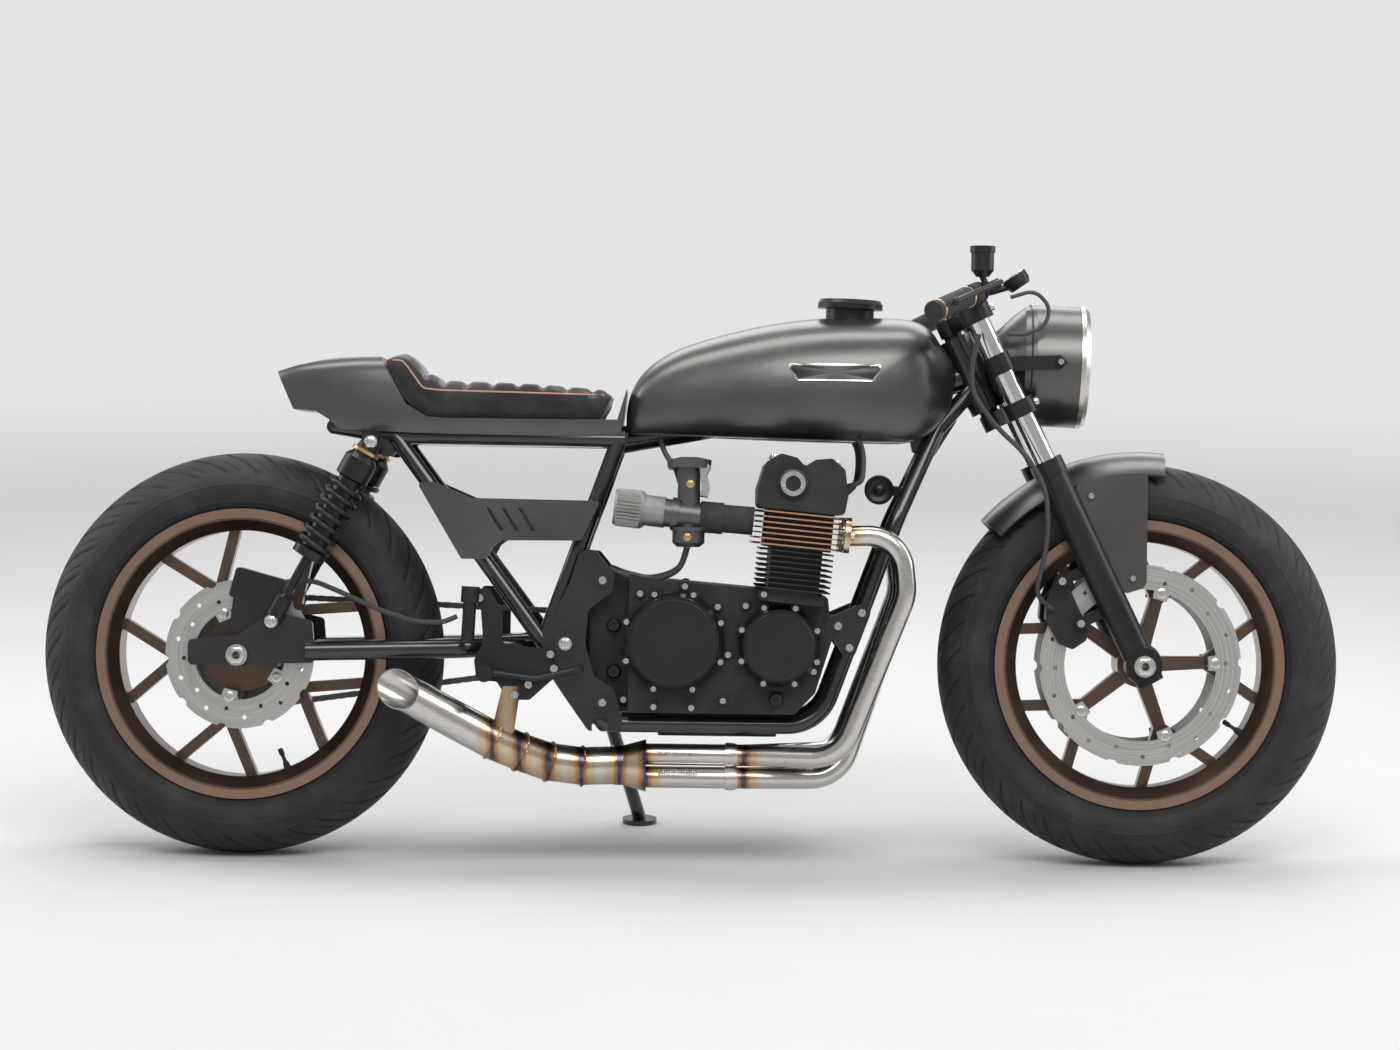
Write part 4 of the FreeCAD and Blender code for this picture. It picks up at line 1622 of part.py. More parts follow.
os.makedirs("parts", exist_ok=True)
for thing, place in pieces:
    thing.Placement = stance.multiply(place)
    if thing.Shape.isNull() or not thing.Shape.isValid():
        raise RuntimeError("%s has no valid shape" % thing.Label)
    thing.Shape.exportStep("parts/%s.step" % thing.Label)


def tell(name, point, axis):
    """Print a joint's place and direction on the standing machine."""
    place = stance.multVec(point)
    way = stance.Rotation.multVec(axis)
    print("joint %s at %.4f %.4f %.4f axis %.6f %.6f %.6f" % (name, *place, *way))


def tell_bore(name, point, axis, radius, length):
    """Print the place, direction and size of a hole that outside pieces use."""
    place = stance.multVec(point)
    way = stance.Rotation.multVec(axis)
    words = (name, *place, *way, radius, length)
    print("bore %s at %.4f %.4f %.4f axis %.6f %.6f %.6f radius %.3f length %.3f" % words)


tell("front_wheel_spin", front_axle_point, LEFT)
tell("rear_wheel_spin", rear_axle_point, LEFT)
tell("steering", fork_point(S.upper_clamp_height, -S.clamp_offset), FORK.Rotation.multVec(UP))
tell("side_stand", stand_pivot, stand_axis)
tell_bore("front_axle_bore", front_axle_point, LEFT, S.axle_bore,
          2 * (S.fork_half_spread + S.slider_radius + S.axle_nut_length))
tell_bore("rear_axle_bore", rear_axle_point, LEFT, S.axle_bore,
          2 * (S.arm_half_width + S.plate_thickness + S.axle_nut_length))
tell_bore("steering_stem_bore", fork_point((S.lower_clamp_height + S.upper_clamp_height) / 2, -S.clamp_offset),
          FORK.Rotation.multVec(UP), S.stem_bore,
          S.upper_clamp_height - S.lower_clamp_height + S.clamp_thickness)
for thing, place in pieces:
    size = thing.Shape.optimalBoundingBox(False, False)
    print("%-18s %8.1f cm3  x %.0f..%.0f  y %.0f..%.0f  z %.1f..%.1f" % (
        thing.Label, thing.Shape.Volume / 1000, size.XMin, size.XMax, size.YMin, size.YMax, size.ZMin,
        size.ZMax))
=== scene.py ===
"""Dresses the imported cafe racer: finishes for every CAD piece, the sewn seat and the small trim round them.

Places are in metres on the upright machine, with X ahead, Y to the rider's left and Z up from the floor. One
matrix carries them onto the standing, leaning machine.
"""
import json
import math

import bmesh
import bpy
import numpy as np
from mathutils import Matrix, Vector
from mathutils.bvhtree import BVHTree


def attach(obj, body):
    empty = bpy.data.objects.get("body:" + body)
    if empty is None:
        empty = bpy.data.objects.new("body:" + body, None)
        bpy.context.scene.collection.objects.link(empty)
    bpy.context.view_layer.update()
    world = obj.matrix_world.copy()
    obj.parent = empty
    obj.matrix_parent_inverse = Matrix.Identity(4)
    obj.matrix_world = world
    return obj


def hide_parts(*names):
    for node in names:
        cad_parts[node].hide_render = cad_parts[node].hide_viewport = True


bl_info = {
    "name": "Cafe racer dressing",
    "version": (1, 0, 0),
    "blender": (4, 5, 0),
    "location": "View3D > Sidebar > Machine",
    "description": "Finishes, seat, fasteners and trim of a cafe racer over its packed CAD model",
    "category": "Object",
}

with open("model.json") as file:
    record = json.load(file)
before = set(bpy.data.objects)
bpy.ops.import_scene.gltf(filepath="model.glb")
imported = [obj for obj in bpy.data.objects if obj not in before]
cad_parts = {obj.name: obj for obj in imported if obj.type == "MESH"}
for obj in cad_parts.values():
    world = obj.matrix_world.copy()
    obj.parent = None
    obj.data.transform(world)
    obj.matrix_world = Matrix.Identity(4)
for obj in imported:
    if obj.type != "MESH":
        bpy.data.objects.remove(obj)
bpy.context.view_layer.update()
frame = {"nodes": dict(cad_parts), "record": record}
SPIN = [joint for joint in frame["record"]["behaviour"]["joints"] if joint["name"] == "front_wheel_spin"][0]


def moved(x, y, z):
    """Matrix that moves by a step."""
    return Matrix.Translation((x, y, z))


def turned(degrees, axis):
    """Matrix that turns about one axis."""
    return Matrix.Rotation(math.radians(degrees), 4, axis)


WHEELBASE = 1.43
AXLE_HEIGHT = 0.32
TILT = Matrix.Rotation(math.atan2(SPIN["axis"][2], SPIN["axis"][1]), 4, "X")
FRONT_AXLE = Vector((WHEELBASE / 2, 0, AXLE_HEIGHT))
REAR_AXLE = Vector((-WHEELBASE / 2, 0, AXLE_HEIGHT))
STANDING = Matrix.Translation(Vector(SPIN["pos_m"]) - TILT @ FRONT_AXLE) @ TILT
FRONT_WHEEL = STANDING @ moved(*FRONT_AXLE)
REAR_WHEEL = STANDING @ moved(*REAR_AXLE)
FORK = FRONT_WHEEL @ turned(-26.2, "Y")
CYLINDERS = STANDING @ moved(0.158, 0, 0.430) @ turned(5.2, "Y")
LAMP = STANDING @ moved(0.61204, 0, 0.79394) @ turned(92, "Y")
DIAL = STANDING @ moved(0.52195, 0, 0.92206) @ turned(-35, "Y")
UPRIGHT = STANDING.inverted()
RIGHT = Vector((0, -1, 0))
LEFT = Vector((0, 1, 0))
SIDES = (-1, 1)
BESIDE_MACHINE = 0.4

# Seat
ABOVE_SEAT = 0.95
BESIDE_SEAT = 0.2
SEAMS = (-0.2972, -0.2776, -0.2524, -0.2238, -0.1951, -0.1676, -0.1406, -0.1126)
SEAM_WIDTH = 0.0055
SEAM_HALF_LENGTH = 0.098
SEAM_FADE = 0.012
HUMP_START = -0.445
HUMP_FADE = 0.02
CUSHION_INSET = 0.0025
FILL_PRESSURE = 4.0
FILL_STEPS = 20
STITCH_PITCH = 0.0075
STITCH_HALF = 0.0026
STITCHED_HALF = 0.080
PIPING_RADIUS = 0.0015
PIPING_ENDS = (-0.478, -0.132)
PIPING_STEP = 0.004
PIPING_X = (-0.470, -0.460, -0.444, -0.428, -0.400, -0.133)
PIPING_Z = (0.789, 0.786, 0.765, 0.7446, 0.7420, 0.7375)

# Chain
CHAIN_PITCH = 0.015875
CHAIN_LINE = 0.092
CHAIN_FRONT = (-0.13399, 0.35006)
FRONT_TEETH = 15
REAR_TEETH = 36
LINK_END = 0.0052
LINK_HALF_HEIGHT = 0.0056
LINK_WAIST = 0.26
LINK_GAPS = (0.0069, 0.0051)

# Wheels and tyres
AXLE_BORE = 0.0063
FRONT_DISC_CIRCLE = 0.119
REAR_DISC_CIRCLE = 0.069
SPROCKET_CIRCLE = 0.0545
DISC_SCREW_SPACING = 72
VALVE_CIRCLE = 0.1975
CROWN_RADIUS = 0.3197
EDGE_RADIUS = 0.280
WIDEST_RADIUS = 0.256
BEAD_RADIUS = 0.2311
TREAD_DROP = 0.040
TREAD_LIMIT = 0.278
CROWN_SPREAD = 1.16
GROOVE_DEPTH = 0.0024
GROOVE_SLANT = 1.4
GROOVE_OFFSET = 0.25
WALL_RINGS = (0.2700, 0.2420)
WALL_RING_HEIGHT = 0.0012
WALL_RING_WIDTH = 0.0014

# Engine and exhaust
BORES = (-0.168, -0.052, 0.052, 0.168)
COVER_SCREW_SPACING = 45
COVER_FACE = 0.1705
COVER_CIRCLES = ((-0.02717, 0.35035, 0.080, -1), (0.13871, 0.34606, 0.064, -1), (0.13871, 0.34606, 0.064, 1))
CAM_CAP = (-0.01728, 0.20564, 0.16946)
CAM_SCREW_CIRCLE = 0.0155
CAM_SCREW_FOOT = 0.0131
THROTTLE_ROD = (0.0180, 0.5860)
HORN = (0.296, 0.5935)
PIPE_RADIUS = 0.0312
WELD_RADIUS = 0.0016
WELDS_AT = (-0.1100, -0.0690, -0.1700, -0.2219, -0.2670, -0.3090, 0.0860)
COIL_RADIUS = 0.0030
COIL_WIRE = 0.0008
COIL_TURNS = 16

# Fork, bars, lamp, tank and shocks
BAR_HEIGHT = 0.6435
BAR_ELBOW = (0.008, 0.205)
BAR_END = (-0.070, 0.318)
GLASS_RADIUS = 0.0848
GLASS_CROWN = 0.0188
GLASS_DROP = 0.0062
GLASS_THICKNESS = 0.0024
FLUTE_DEPTH = 0.0004
FLUTED_HALF = 0.066
BADGE_MIDDLE = (0.2220, 0.7770)
SHOCK_TOP = (-0.3545, 0.460)
SHOCK_FOOT = (-0.4615, 0.2615)

# Stage
PALE = (0.78, 0.78, 0.78)
FLOOR_HALF = 60
FADE_START = 1.6
FADE_END = 6.5
EYE_DISTANCE = 7.0
EYE_AIM = (0.012, 0, 0.534)
EYE_LENS = 112.2
EYE_ROLL = math.radians(0.74)

FINISHES = {}
REACH = {}


def side_point(x_share, z_share, y=0.0):
    """Point of the side view, given as shares of the wheelbase as the CAD source gives them."""
    return Vector((x_share * WHEELBASE, y, z_share * WHEELBASE))


def round_spot(radius, degrees, y, x=0.0, z=0.0):
    """Point of a circle that stands in the side view."""
    angle = math.radians(degrees)
    return Vector((x + radius * math.cos(angle), y, z + radius * math.sin(angle)))


def carried(points, place):
    """Points moved by a matrix."""
    spot = np.array(place)
    return points @ spot[:3, :3].T + spot[:3, 3]


def grid(points):
    """Points on a two-parameter grid, joined to quads between neighbouring rows and columns."""
    rows, columns = points.shape[:2]
    index = np.arange(rows * columns).reshape(rows, columns)
    faces = np.stack([index[:-1, :-1], index[1:, :-1], index[1:, 1:], index[:-1, 1:]], axis=-1)
    return points.reshape(-1, 3), faces.reshape(-1, 4)


def once_round(sides):
    """Angles once round a circle, with the first repeated at the end."""
    return np.linspace(0, 2 * np.pi, sides + 1)


def level(reach, turn, height):
    """Points at a distance from the Z axis, at each angle and at a height."""
    return np.stack([reach * np.cos(turn), reach * np.sin(turn), height + 0 * turn], axis=-1)


def lathe(profile, sides=40):
    """Each (radius, height) of the profile, carried once round the Z axis."""
    line = np.array(profile, float)
    return grid(level(line[:, 0], once_round(sides)[:, None], line[:, 1]))


def through(corners, count):
    """Points spaced along a Catmull-Rom curve, whose spans are cubics with their corners' mean slopes."""
    knots = np.array(corners, float)
    ends = np.vstack([2 * knots[0] - knots[1], knots, 2 * knots[-1] - knots[-2]])
    place = np.linspace(0, len(knots) - 1, count)
    span = np.minimum(place.astype(int), len(knots) - 2)
    t = (place - span)[:, None]
    a, b, c, d = [ends[span + step] for step in range(4)]
    square = (2 * a - 5 * b + 4 * c - d) * t ** 2
    cube = (3 * b - a - 3 * c + d) * t ** 3
    return 0.5 * (2 * b + (c - a) * t + square + cube)


def tube(path, radius, sides=12, swell=None):
    """A circle carried along a path, square to it, and drawn in to a point at both ends."""
    path = np.asarray(path, float)
    along = np.gradient(path, axis=0)
    along /= np.linalg.norm(along, axis=1)[:, None]
    side = np.cross(along, (0.13, 0.21, 0.97))
    side /= np.linalg.norm(side, axis=1)[:, None]
    rise = np.cross(side, along)
    size = radius * (np.ones(len(path)) if swell is None else np.asarray(swell, float))
    turn = once_round(sides)[None, :, None]
    ring = np.cos(turn) * side[:, None] + np.sin(turn) * rise[:, None]
    body = path[:, None] + size[:, None, None] * ring
    ends = [np.repeat(path[[index]], sides + 1, axis=0)[None] for index in (0, -1)]
    return grid(np.concatenate([ends[0], body, ends[1]]))


def plate(outline, low, high, bevel):
    """An outline drawn at two heights, drawn in a little at each edge and closed to its middle."""
    flat = np.array(outline, float)
    flat = np.vstack([flat, flat[:1]])
    middle = flat[:-1].mean(axis=0)
    edge = 1 - bevel / np.linalg.norm(flat - middle, axis=1).max()
    rings = ((0, low), (edge, low), (1, low + bevel), (1, high - bevel), (edge, high), (0, high))
    return grid(np.stack([np.column_stack([middle + (flat - middle) * share, np.full(len(flat), height)])
                          for share, height in rings]))


def hexed(rings, radius, height, sides, flat, bore=0.0):
    """Rings round the Z axis, none inside the bore: share of radius, share of height, six-sided or not.

    A six-sided ring follows flat/cos(angle from the nearest flat).
    """
    turn = once_round(sides)
    hexagon = flat / np.cos((turn % (math.pi / 3)) - math.pi / 6)
    layers = [level(np.maximum(radius * share * (hexagon if six else 1), bore), turn, rise * height)
              for share, rise, six in rings]
    if bore:
        layers.append(layers[0])
    return grid(np.stack(layers, axis=1))


def socket_screw(radius, height, sides=24):
    """Cap screw with a six-sided socket."""
    rings = ((0, 0, 0), (1, 0, 0), (1, 0.8, 0), (0.9, 1, 0), (0.55, 1, 1), (0.5, 0.92, 1), (0.5, 0.35, 1),
             (0, 0.35, 0))
    return hexed(rings, radius, height, sides, math.cos(math.pi / 6))


def hex_nut(radius, height, bore=0.0):
    """Six-sided nut with a rounded crown, open through its middle when it has a bore."""
    rings = ((0, 0, 0), (1.25, 0, 0), (1.25, 0.18, 0), (1, 0.18, 1), (1, 0.85, 1), (0.86, 1, 0), (0, 1, 0))
    return hexed(rings, radius, height, 24, 1.0, bore)


def copies(shape, places):
    """One shape carried by each of several matrices, as one set of points and faces."""
    return joined([(carried(shape[0], place), shape[1]) for place in places])


def joined(shapes):
    """Several shapes as one."""
    starts = np.cumsum([0] + [len(points) for points, faces in shapes])
    return (np.concatenate([points for points, faces in shapes]),
            np.concatenate([faces + start for (points, faces), start in zip(shapes, starts)]))


def facing(point, axis, turn=0.0):
    """Matrix that stands a piece's own Z axis on a point along an axis."""
    spin = Vector(axis).to_track_quat("Z", "Y").to_matrix().to_4x4()
    return Matrix.Translation(point) @ spin @ Matrix.Rotation(turn, 4, "Z")


def outward(places):
    """Matrices that stand a piece on each place and on its mirror place, facing out to its side."""
    return [facing((x, side * y, z), (0, side, 0)) for x, y, z in places for side in SIDES]


def read(piece, values):
    """A mesh's vertex values, as rows of three."""
    rows = np.empty(len(piece.data.vertices) * 3, np.float32)
    piece.data.vertices.foreach_get(values, rows)
    return rows.reshape(-1, 3)


def write(piece, spots):
    """Put a mesh's vertices at other places."""
    piece.data.vertices.foreach_set("co", spots.ravel())
    piece.data.update()


def surface(mesh):
    """Search tree over a mesh's faces."""
    return BVHTree.FromPolygons([vertex.co for vertex in mesh.vertices],
                                [tuple(face.vertices) for face in mesh.polygons])


def struck(reach, start, way):
    """Upright place where a line from an upright place meets a surface, or None."""
    hit = reach.ray_cast(STANDING @ Vector(start), STANDING.to_3x3() @ Vector(way))[0]
    return None if hit is None else UPRIGHT @ hit


def surface_spot(names, x, z, side):
    """Outermost point of some CAD pieces on the line square to the machine's side, in upright places."""
    spots = []
    for name in names:
        if name not in REACH:
            REACH[name] = surface(frame["nodes"][name].data)
        spots.append(struck(REACH[name], (x, side * BESIDE_MACHINE, z), (0, -side, 0)))
    return max((spot for spot in spots if spot is not None), key=lambda spot: spot.y * side, default=None)


def add_piece(name, shape, finish, body="frame", place=STANDING, smooth=38):
    """Object from points and faces: placed in its mesh, merged at its seams, faces outwards."""
    points, faces = shape
    mesh = bpy.data.meshes.new(name)
    mesh.from_pydata(carried(points, place).tolist(), [], faces.tolist())
    soft = bmesh.new()
    soft.from_mesh(mesh)
    bmesh.ops.remove_doubles(soft, verts=soft.verts, dist=2e-6)
    bmesh.ops.dissolve_degenerate(soft, edges=soft.edges, dist=1e-7)
    bmesh.ops.recalc_face_normals(soft, faces=soft.faces)
    soft.to_mesh(mesh)
    soft.free()
    mesh.shade_smooth()
    mesh.set_sharp_from_angle(angle=math.radians(smooth))
    piece = bpy.data.objects.new(name, mesh)
    bpy.context.scene.collection.objects.link(piece)
    mesh.materials.append(FINISHES[finish])
    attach(piece, body)
    return piece


class Wire:
    """A material's socket that can stand in a Python sum, which adds the Math nodes for it."""

    def __init__(self, tree, socket):
        self.tree = tree
        self.socket = socket

    def node(self, kind, settings, values, output=0):
        """Any other node of the same material, with its settings first and then its sockets."""
        return add_node(self.tree, kind, settings, values, output)

    def maths(self, operation, *values):
        """Math node on this value and others."""
        return self.node("ShaderNodeMath", {"operation": operation}, dict(enumerate((self,) + values)))

    def __add__(self, other):
        return self.maths("ADD", other)

    def __sub__(self, other):
        return self.maths("SUBTRACT", other)

    def __rsub__(self, other):
        return self.node("ShaderNodeMath", {"operation": "SUBTRACT"}, {0: other, 1: self})

    def __mul__(self, other):
        return self.maths("MULTIPLY", other)

    __radd__ = __add__
    __rmul__ = __mul__

    def __pow__(self, other):
        return self.maths("POWER", other)

    def __abs__(self):
        return self.maths("ABSOLUTE")

    def sine(self):
        """Sine of this value."""
        return self.maths("SINE")

    def at_least(self, other):
        """The larger of two values."""
        return self.maths("MAXIMUM", other)

    def at_most(self, other):
        """The smaller of two values."""
        return self.maths("MINIMUM", other)

    def ramp(self, low, high):
        """0 at low, 1 at high, smooth between."""
        return self.node("ShaderNodeMapRange", {"interpolation_type": "SMOOTHSTEP"},
                         {"Value": self, "From Min": low, "From Max": high, "To Min": 0.0, "To Max": 1.0})

    def between(self, here, there):
        """Colour between two colours by this value."""
        return self.node("ShaderNodeMix", {"data_type": "RGBA"}, {0: self, 6: here, 7: there}, 2)


def add_node(tree, kind, settings, values, output=0):
    """Node of a kind: settings first, then each socket's value or link."""
    node = tree.nodes.new(kind)
    for name, value in settings.items():
        setattr(node, name, value)
    for name, value in values.items():
        if isinstance(value, Wire):
            tree.links.new(value.socket, node.inputs[name])
        elif node.inputs[name].type == "RGBA":
            node.inputs[name].default_value = (*value, 1.0)
        else:
            node.inputs[name].default_value = value
    return Wire(tree, node.outputs[output])


class Finish:
    """A material being made, with coordinates that run in a piece's own directions."""

    def __init__(self, name, settings, place=STANDING):
        self.name = name
        self.material = bpy.data.materials.new(name)
        self.material.use_nodes = True
        self.tree = self.material.node_tree
        self.shader = self.tree.nodes["Principled BSDF"]
        for socket, value in settings.items():
            self.shader.inputs[socket].default_value = value
        self.where = self.node("ShaderNodeMapping", {"vector_type": "TEXTURE"}, {
            "Vector": self.node("ShaderNodeTexCoord", {}, {}, "Object"),
            "Location": place.to_translation(), "Rotation": tuple(place.to_euler("XYZ"))})

    def node(self, kind, settings, values, output=0):
        """Any node of this material."""
        return add_node(self.tree, kind, settings, values, output)

    def axes(self):
        """The coordinates as three values, X, Y and Z."""
        return [self.node("ShaderNodeSeparateXYZ", {}, {"Vector": self.where}, axis) for axis in range(3)]

    def noise(self, scale, detail=3.0, rough=0.55, where=None):
        """Fine random value between 0 and 1 at a scale."""
        return self.node("ShaderNodeTexNoise", {}, {"Vector": where or self.where, "Scale": scale,
                                                    "Detail": detail, "Roughness": rough})

    def stretched(self, scales):
        """Coordinates scaled apart, for brushed lines."""
        return self.node("ShaderNodeMapping", {}, {"Vector": self.where, "Scale": scales})

    def feed(self, socket, wire):
        """Link a worked-out value to the shader."""
        self.tree.links.new(wire.socket, self.shader.inputs[socket])

    def done(self, colour, roughness, height, depth):
        """Link colour, roughness and the relief of a height, in metres, and keep the finish by its name."""
        self.feed("Base Color", colour)
        self.feed("Roughness", roughness)
        self.feed("Normal", self.node("ShaderNodeBump", {}, {"Height": height, "Distance": depth,
                                                             "Strength": 1.0}))
        FINISHES[self.name] = self.material


def shaded(colour, share, lift=0.0):
    """Colour made lighter or darker."""
    return tuple(min(part * share + lift, 1) for part in colour)


def coated_metal(name, colour, metallic, roughness, grain, coat=0.0, orange_peel=0.00004, spread=0.12,
                 scuff=None):
    """Paint or anodising over metal: fine flake, uneven sheen, faint relief and rubbed places."""
    paint = Finish(name, {"Metallic": metallic, "Coat Roughness": 0.12, "Coat Weight": coat})
    flake = paint.noise(grain, 2.0)
    cloud = paint.noise(9.0, 4.0)
    shade = flake * spread + cloud * spread
    tint = shade.ramp(spread * 0.6, spread * 1.45).between(shaded(colour, 1 - spread),
                                                           shaded(colour, 1 + spread * 1.6, 0.004))
    rubbed = paint.noise(34.0, 6.0, 0.7).ramp(0.62, 0.78) * 0.5
    if scuff:
        tint = rubbed.between(tint, scuff)
    paint.done(tint, cloud * 0.16 + flake * 0.06 + rubbed * 0.12 + (roughness - 0.14), flake, orange_peel)


def cast_black(name, colour):
    """Black engine coating over sand-cast metal."""
    cast = Finish(name, {"Metallic": 0.35})
    sand = cast.noise(900.0, 3.0, 0.7)
    cloud = cast.noise(14.0, 5.0, 0.6)
    tint = cloud.ramp(0.3, 0.72).between(shaded(colour, 0.7), shaded(colour, 1.45))
    cast.done(tint, cloud * 0.22 + sand * 0.1 + 0.35, sand, 0.00012)


def finned_head(name, colour, edge):
    """Black fins, rubbed through to copper where a point is near the fins' outline."""
    fins = Finish(name, {}, CYLINDERS)
    x, y = fins.axes()[:2]
    reach = abs(x).ramp(0.0698, 0.0712).at_least(abs(y).ramp(0.2096, 0.2112))
    wear = fins.noise(60.0, 4.0, 0.7)
    shown = reach * wear.ramp(0.22, 0.4)
    black = fins.noise(22.0, 4.0).ramp(0.3, 0.7).between(shaded(colour, 0.7), shaded(colour, 1.5))
    fins.feed("Metallic", shown * 0.65 + 0.3)
    fins.done(shown.between(black, edge), 0.52 - shown * 0.24 + wear * 0.1, fins.noise(700.0), 0.00005)


def brushed_steel(name, colour, roughness, scales, place=STANDING, relief=0.00002):
    """Bare metal with fine lines drawn along one direction."""
    metal = Finish(name, {"Metallic": 1.0}, place)
    lines = metal.noise(1.0, 6.0, 0.75, metal.stretched(scales))
    tint = lines.ramp(0.25, 0.75).between(shaded(colour, 0.78), shaded(colour, 1.12))
    metal.done(tint, lines * 0.18 + metal.noise(25.0) * 0.08 + (roughness - 0.12), lines, relief)


def ground_disc(name, colour, place):
    """Brake disc: rings left by the pads, so the lines follow the distance from the axle."""
    disc = Finish(name, {"Metallic": 1.0}, place)
    x, y, z = disc.axes()
    radius = (x * x + z * z) ** 0.5
    rings = disc.node("ShaderNodeCombineXYZ", {}, {0: radius * 900.0, 1: y * 40.0, 2: x * 9.0})
    lines = disc.noise(1.0, 5.0, 0.8, rings)
    tint = lines.ramp(0.3, 0.7).between(shaded(colour, 0.72), shaded(colour, 1.15))
    stain = disc.noise(18.0, 4.0).ramp(0.6, 0.85) * 0.35
    disc.done(stain.between(tint, (0.30, 0.27, 0.24)), lines * 0.2 + 0.22, lines, 0.00003)


def heat_tinted(name, colour):
    """Stainless pipe: brushed, with bands of straw, bronze and blue each side of every weld."""
    pipe = Finish(name, {"Metallic": 1.0})
    x, z = pipe.axes()[::2]
    near = abs(x - WELDS_AT[0])
    for weld in WELDS_AT[1:]:
        near = near.at_most(abs(x - weld))
    port = abs(x - 0.2500) + (0.5200 - z).at_least(0.0) * 0.8
    near = near.at_most(port + 0.004)
    far = near + pipe.noise(40.0) * 0.010 - 0.005
    lines = pipe.noise(1.0, 6.0, 0.7, pipe.stretched((12.0, 700.0, 700.0)))
    tint = lines.ramp(0.25, 0.75).between(shaded(colour, 0.8), shaded(colour, 1.1))
    for start, end, band in ((0.030, 0.012, (0.60, 0.44, 0.27)), (0.014, 0.005, (0.38, 0.21, 0.115)),
                             (0.0055, 0.0025, (0.10, 0.085, 0.12))):
        tint = far.ramp(start, end).between(tint, band)
    pipe.done(tint, lines * 0.16 + 0.16, lines, 0.00002)


def wheel_paint(name, colour, place):
    """Satin bronze wheel whose rim lips are machined brighter."""
    wheel = Finish(name, {"Metallic": 0.9, "Coat Weight": 0.25, "Coat Roughness": 0.2}, place)
    x, y, z = wheel.axes()
    flake = wheel.noise(1600.0, 2.0)
    cloud = wheel.noise(12.0, 4.0)
    cut = ((x * x + z * z) ** 0.5).ramp(0.2155, 0.2175) * abs(y).ramp(0.044, 0.0485)
    tint = (flake * 0.5 + cloud * 0.5).ramp(0.35, 0.65).between(shaded(colour, 0.8), shaded(colour, 1.25))
    wheel.done(cut.between(tint, shaded(colour, 2.5)), cloud * 0.14 + 0.27 - cut * 0.06, flake, 0.00003)


def tyre_rubber(name, colour, place):
    """Road tyre: fine ribs near the bead, dust on the walls, and painted shade in the grooves, read from the
    mesh's groove attribute.
    """
    tyre = Finish(name, {"Specular IOR Level": 0.35}, place)
    x, z = tyre.axes()[::2]
    radius = (x * x + z * z) ** 0.5
    groove = tyre.node("ShaderNodeAttribute", {"attribute_name": "groove"}, {}, "Fac")
    band = abs((radius * 900.0).sine()) * radius.ramp(0.246, 0.240) * 0.5
    dust = tyre.noise(16.0, 5.0, 0.65)
    tint = dust.ramp(0.4, 0.8).between(colour, shaded(colour, 1.9, 0.004))
    # Painted shade: inside the cut grooves the rubber is drawn at 0.4 of its colour, where shade falls.
    tint = groove.between(tint, shaded(colour, 0.4))
    sheen = 0.60 - radius.ramp(0.278, 0.284) * 0.08 + dust * 0.16
    tyre.done(tint, sheen, tyre.noise(1300.0) * 0.25 + band, 0.0006)


def moulded_rubber(name, colour, roughness, ribs):
    """Black rubber or plastic with a fine diamond grain."""
    rubber = Finish(name, {"Specular IOR Level": 0.4})
    cells = rubber.node("ShaderNodeTexVoronoi", {"feature": "DISTANCE_TO_EDGE"},
                        {"Vector": rubber.where, "Scale": ribs})
    cloud = rubber.noise(30.0, 4.0)
    tint = cloud.ramp(0.3, 0.7).between(shaded(colour, 0.75), shaded(colour, 1.5, 0.003))
    rubber.done(tint, cloud * 0.15 + (roughness - 0.08), cells.ramp(0.0, 0.25), 0.0003)


def braided_line(name, colour):
    """Hose cover: two sets of crossing strands."""
    hose = Finish(name, {"Specular IOR Level": 0.45})
    x, y, z = hose.axes()
    over = ((x + z) * 3200.0 + y * 1500.0).sine()
    strands = over.at_least(((x - z) * 3200.0 - y * 1500.0).sine()) * 0.5 + 0.5
    tint = strands.between(shaded(colour, 0.5), shaded(colour, 1.8))
    hose.done(tint, strands * 0.15 + 0.4, strands, 0.0002)


def napped_suede(name, colour):
    """Seat cover: short nap that catches light where it is brushed, over a soft pebble."""
    hide = Finish(name, {"Sheen Weight": 0.55, "Sheen Roughness": 0.45, "Specular IOR Level": 0.2})
    brushed = hide.noise(28.0, 5.0, 0.7, hide.stretched((1.0, 0.6, 1.0)))
    pile = hide.noise(1500.0, 3.0, 0.8)
    tint = (brushed * 0.6 + pile * 0.4).ramp(0.3, 0.72).between(colour, shaded(colour, 2.6, 0.006))
    hide.done(tint, pile * 0.12 + 0.82, pile + brushed * 0.4, 0.00035)


def twisted_thread(name, colour):
    """Sewing thread: fine slanting strands."""
    cotton = Finish(name, {"Sheen Weight": 0.3})
    x, y, z = cotton.axes()
    strands = ((x + y * 0.6 + z) * 5200.0).sine() * 0.5 + 0.5
    cotton.done(strands.between(shaded(colour, 0.55), colour), strands * 0.1 + 0.5, strands, 0.00015)


def clear_glass(name, colour):
    """Clear lamp glass with faint dust."""
    glass = Finish(name, {"Transmission Weight": 1.0, "IOR": 1.45}, LAMP)
    dust = glass.noise(45.0, 4.0)
    glass.done(dust.ramp(0.4, 0.8).between(colour, shaded(colour, 0.96)), dust.ramp(0.5, 0.9) * 0.05 + 0.02,
               (glass.axes()[0] * 700.0).sine(), 0.0002)


def wire_gauze(name, colour):
    """Pod filter: wire gauze over pleats."""
    mesh = Finish(name, {"Metallic": 0.9})
    x, y, z = mesh.axes()
    gauze = (x * 4200.0).sine() * ((y + z) * 4200.0).sine() * 0.5 + 0.5
    tint = gauze.between(shaded(colour, 0.35), colour)
    mesh.done(tint, gauze * 0.2 + mesh.noise(40.0) * 0.1 + 0.25, gauze, 0.0003)


def colour_setting(name, words, default):
    """Colour that a user may change."""
    return bpy.props.FloatVectorProperty(name=name, description=words, default=default, size=3, min=0, max=1,
                                         subtype="COLOR")


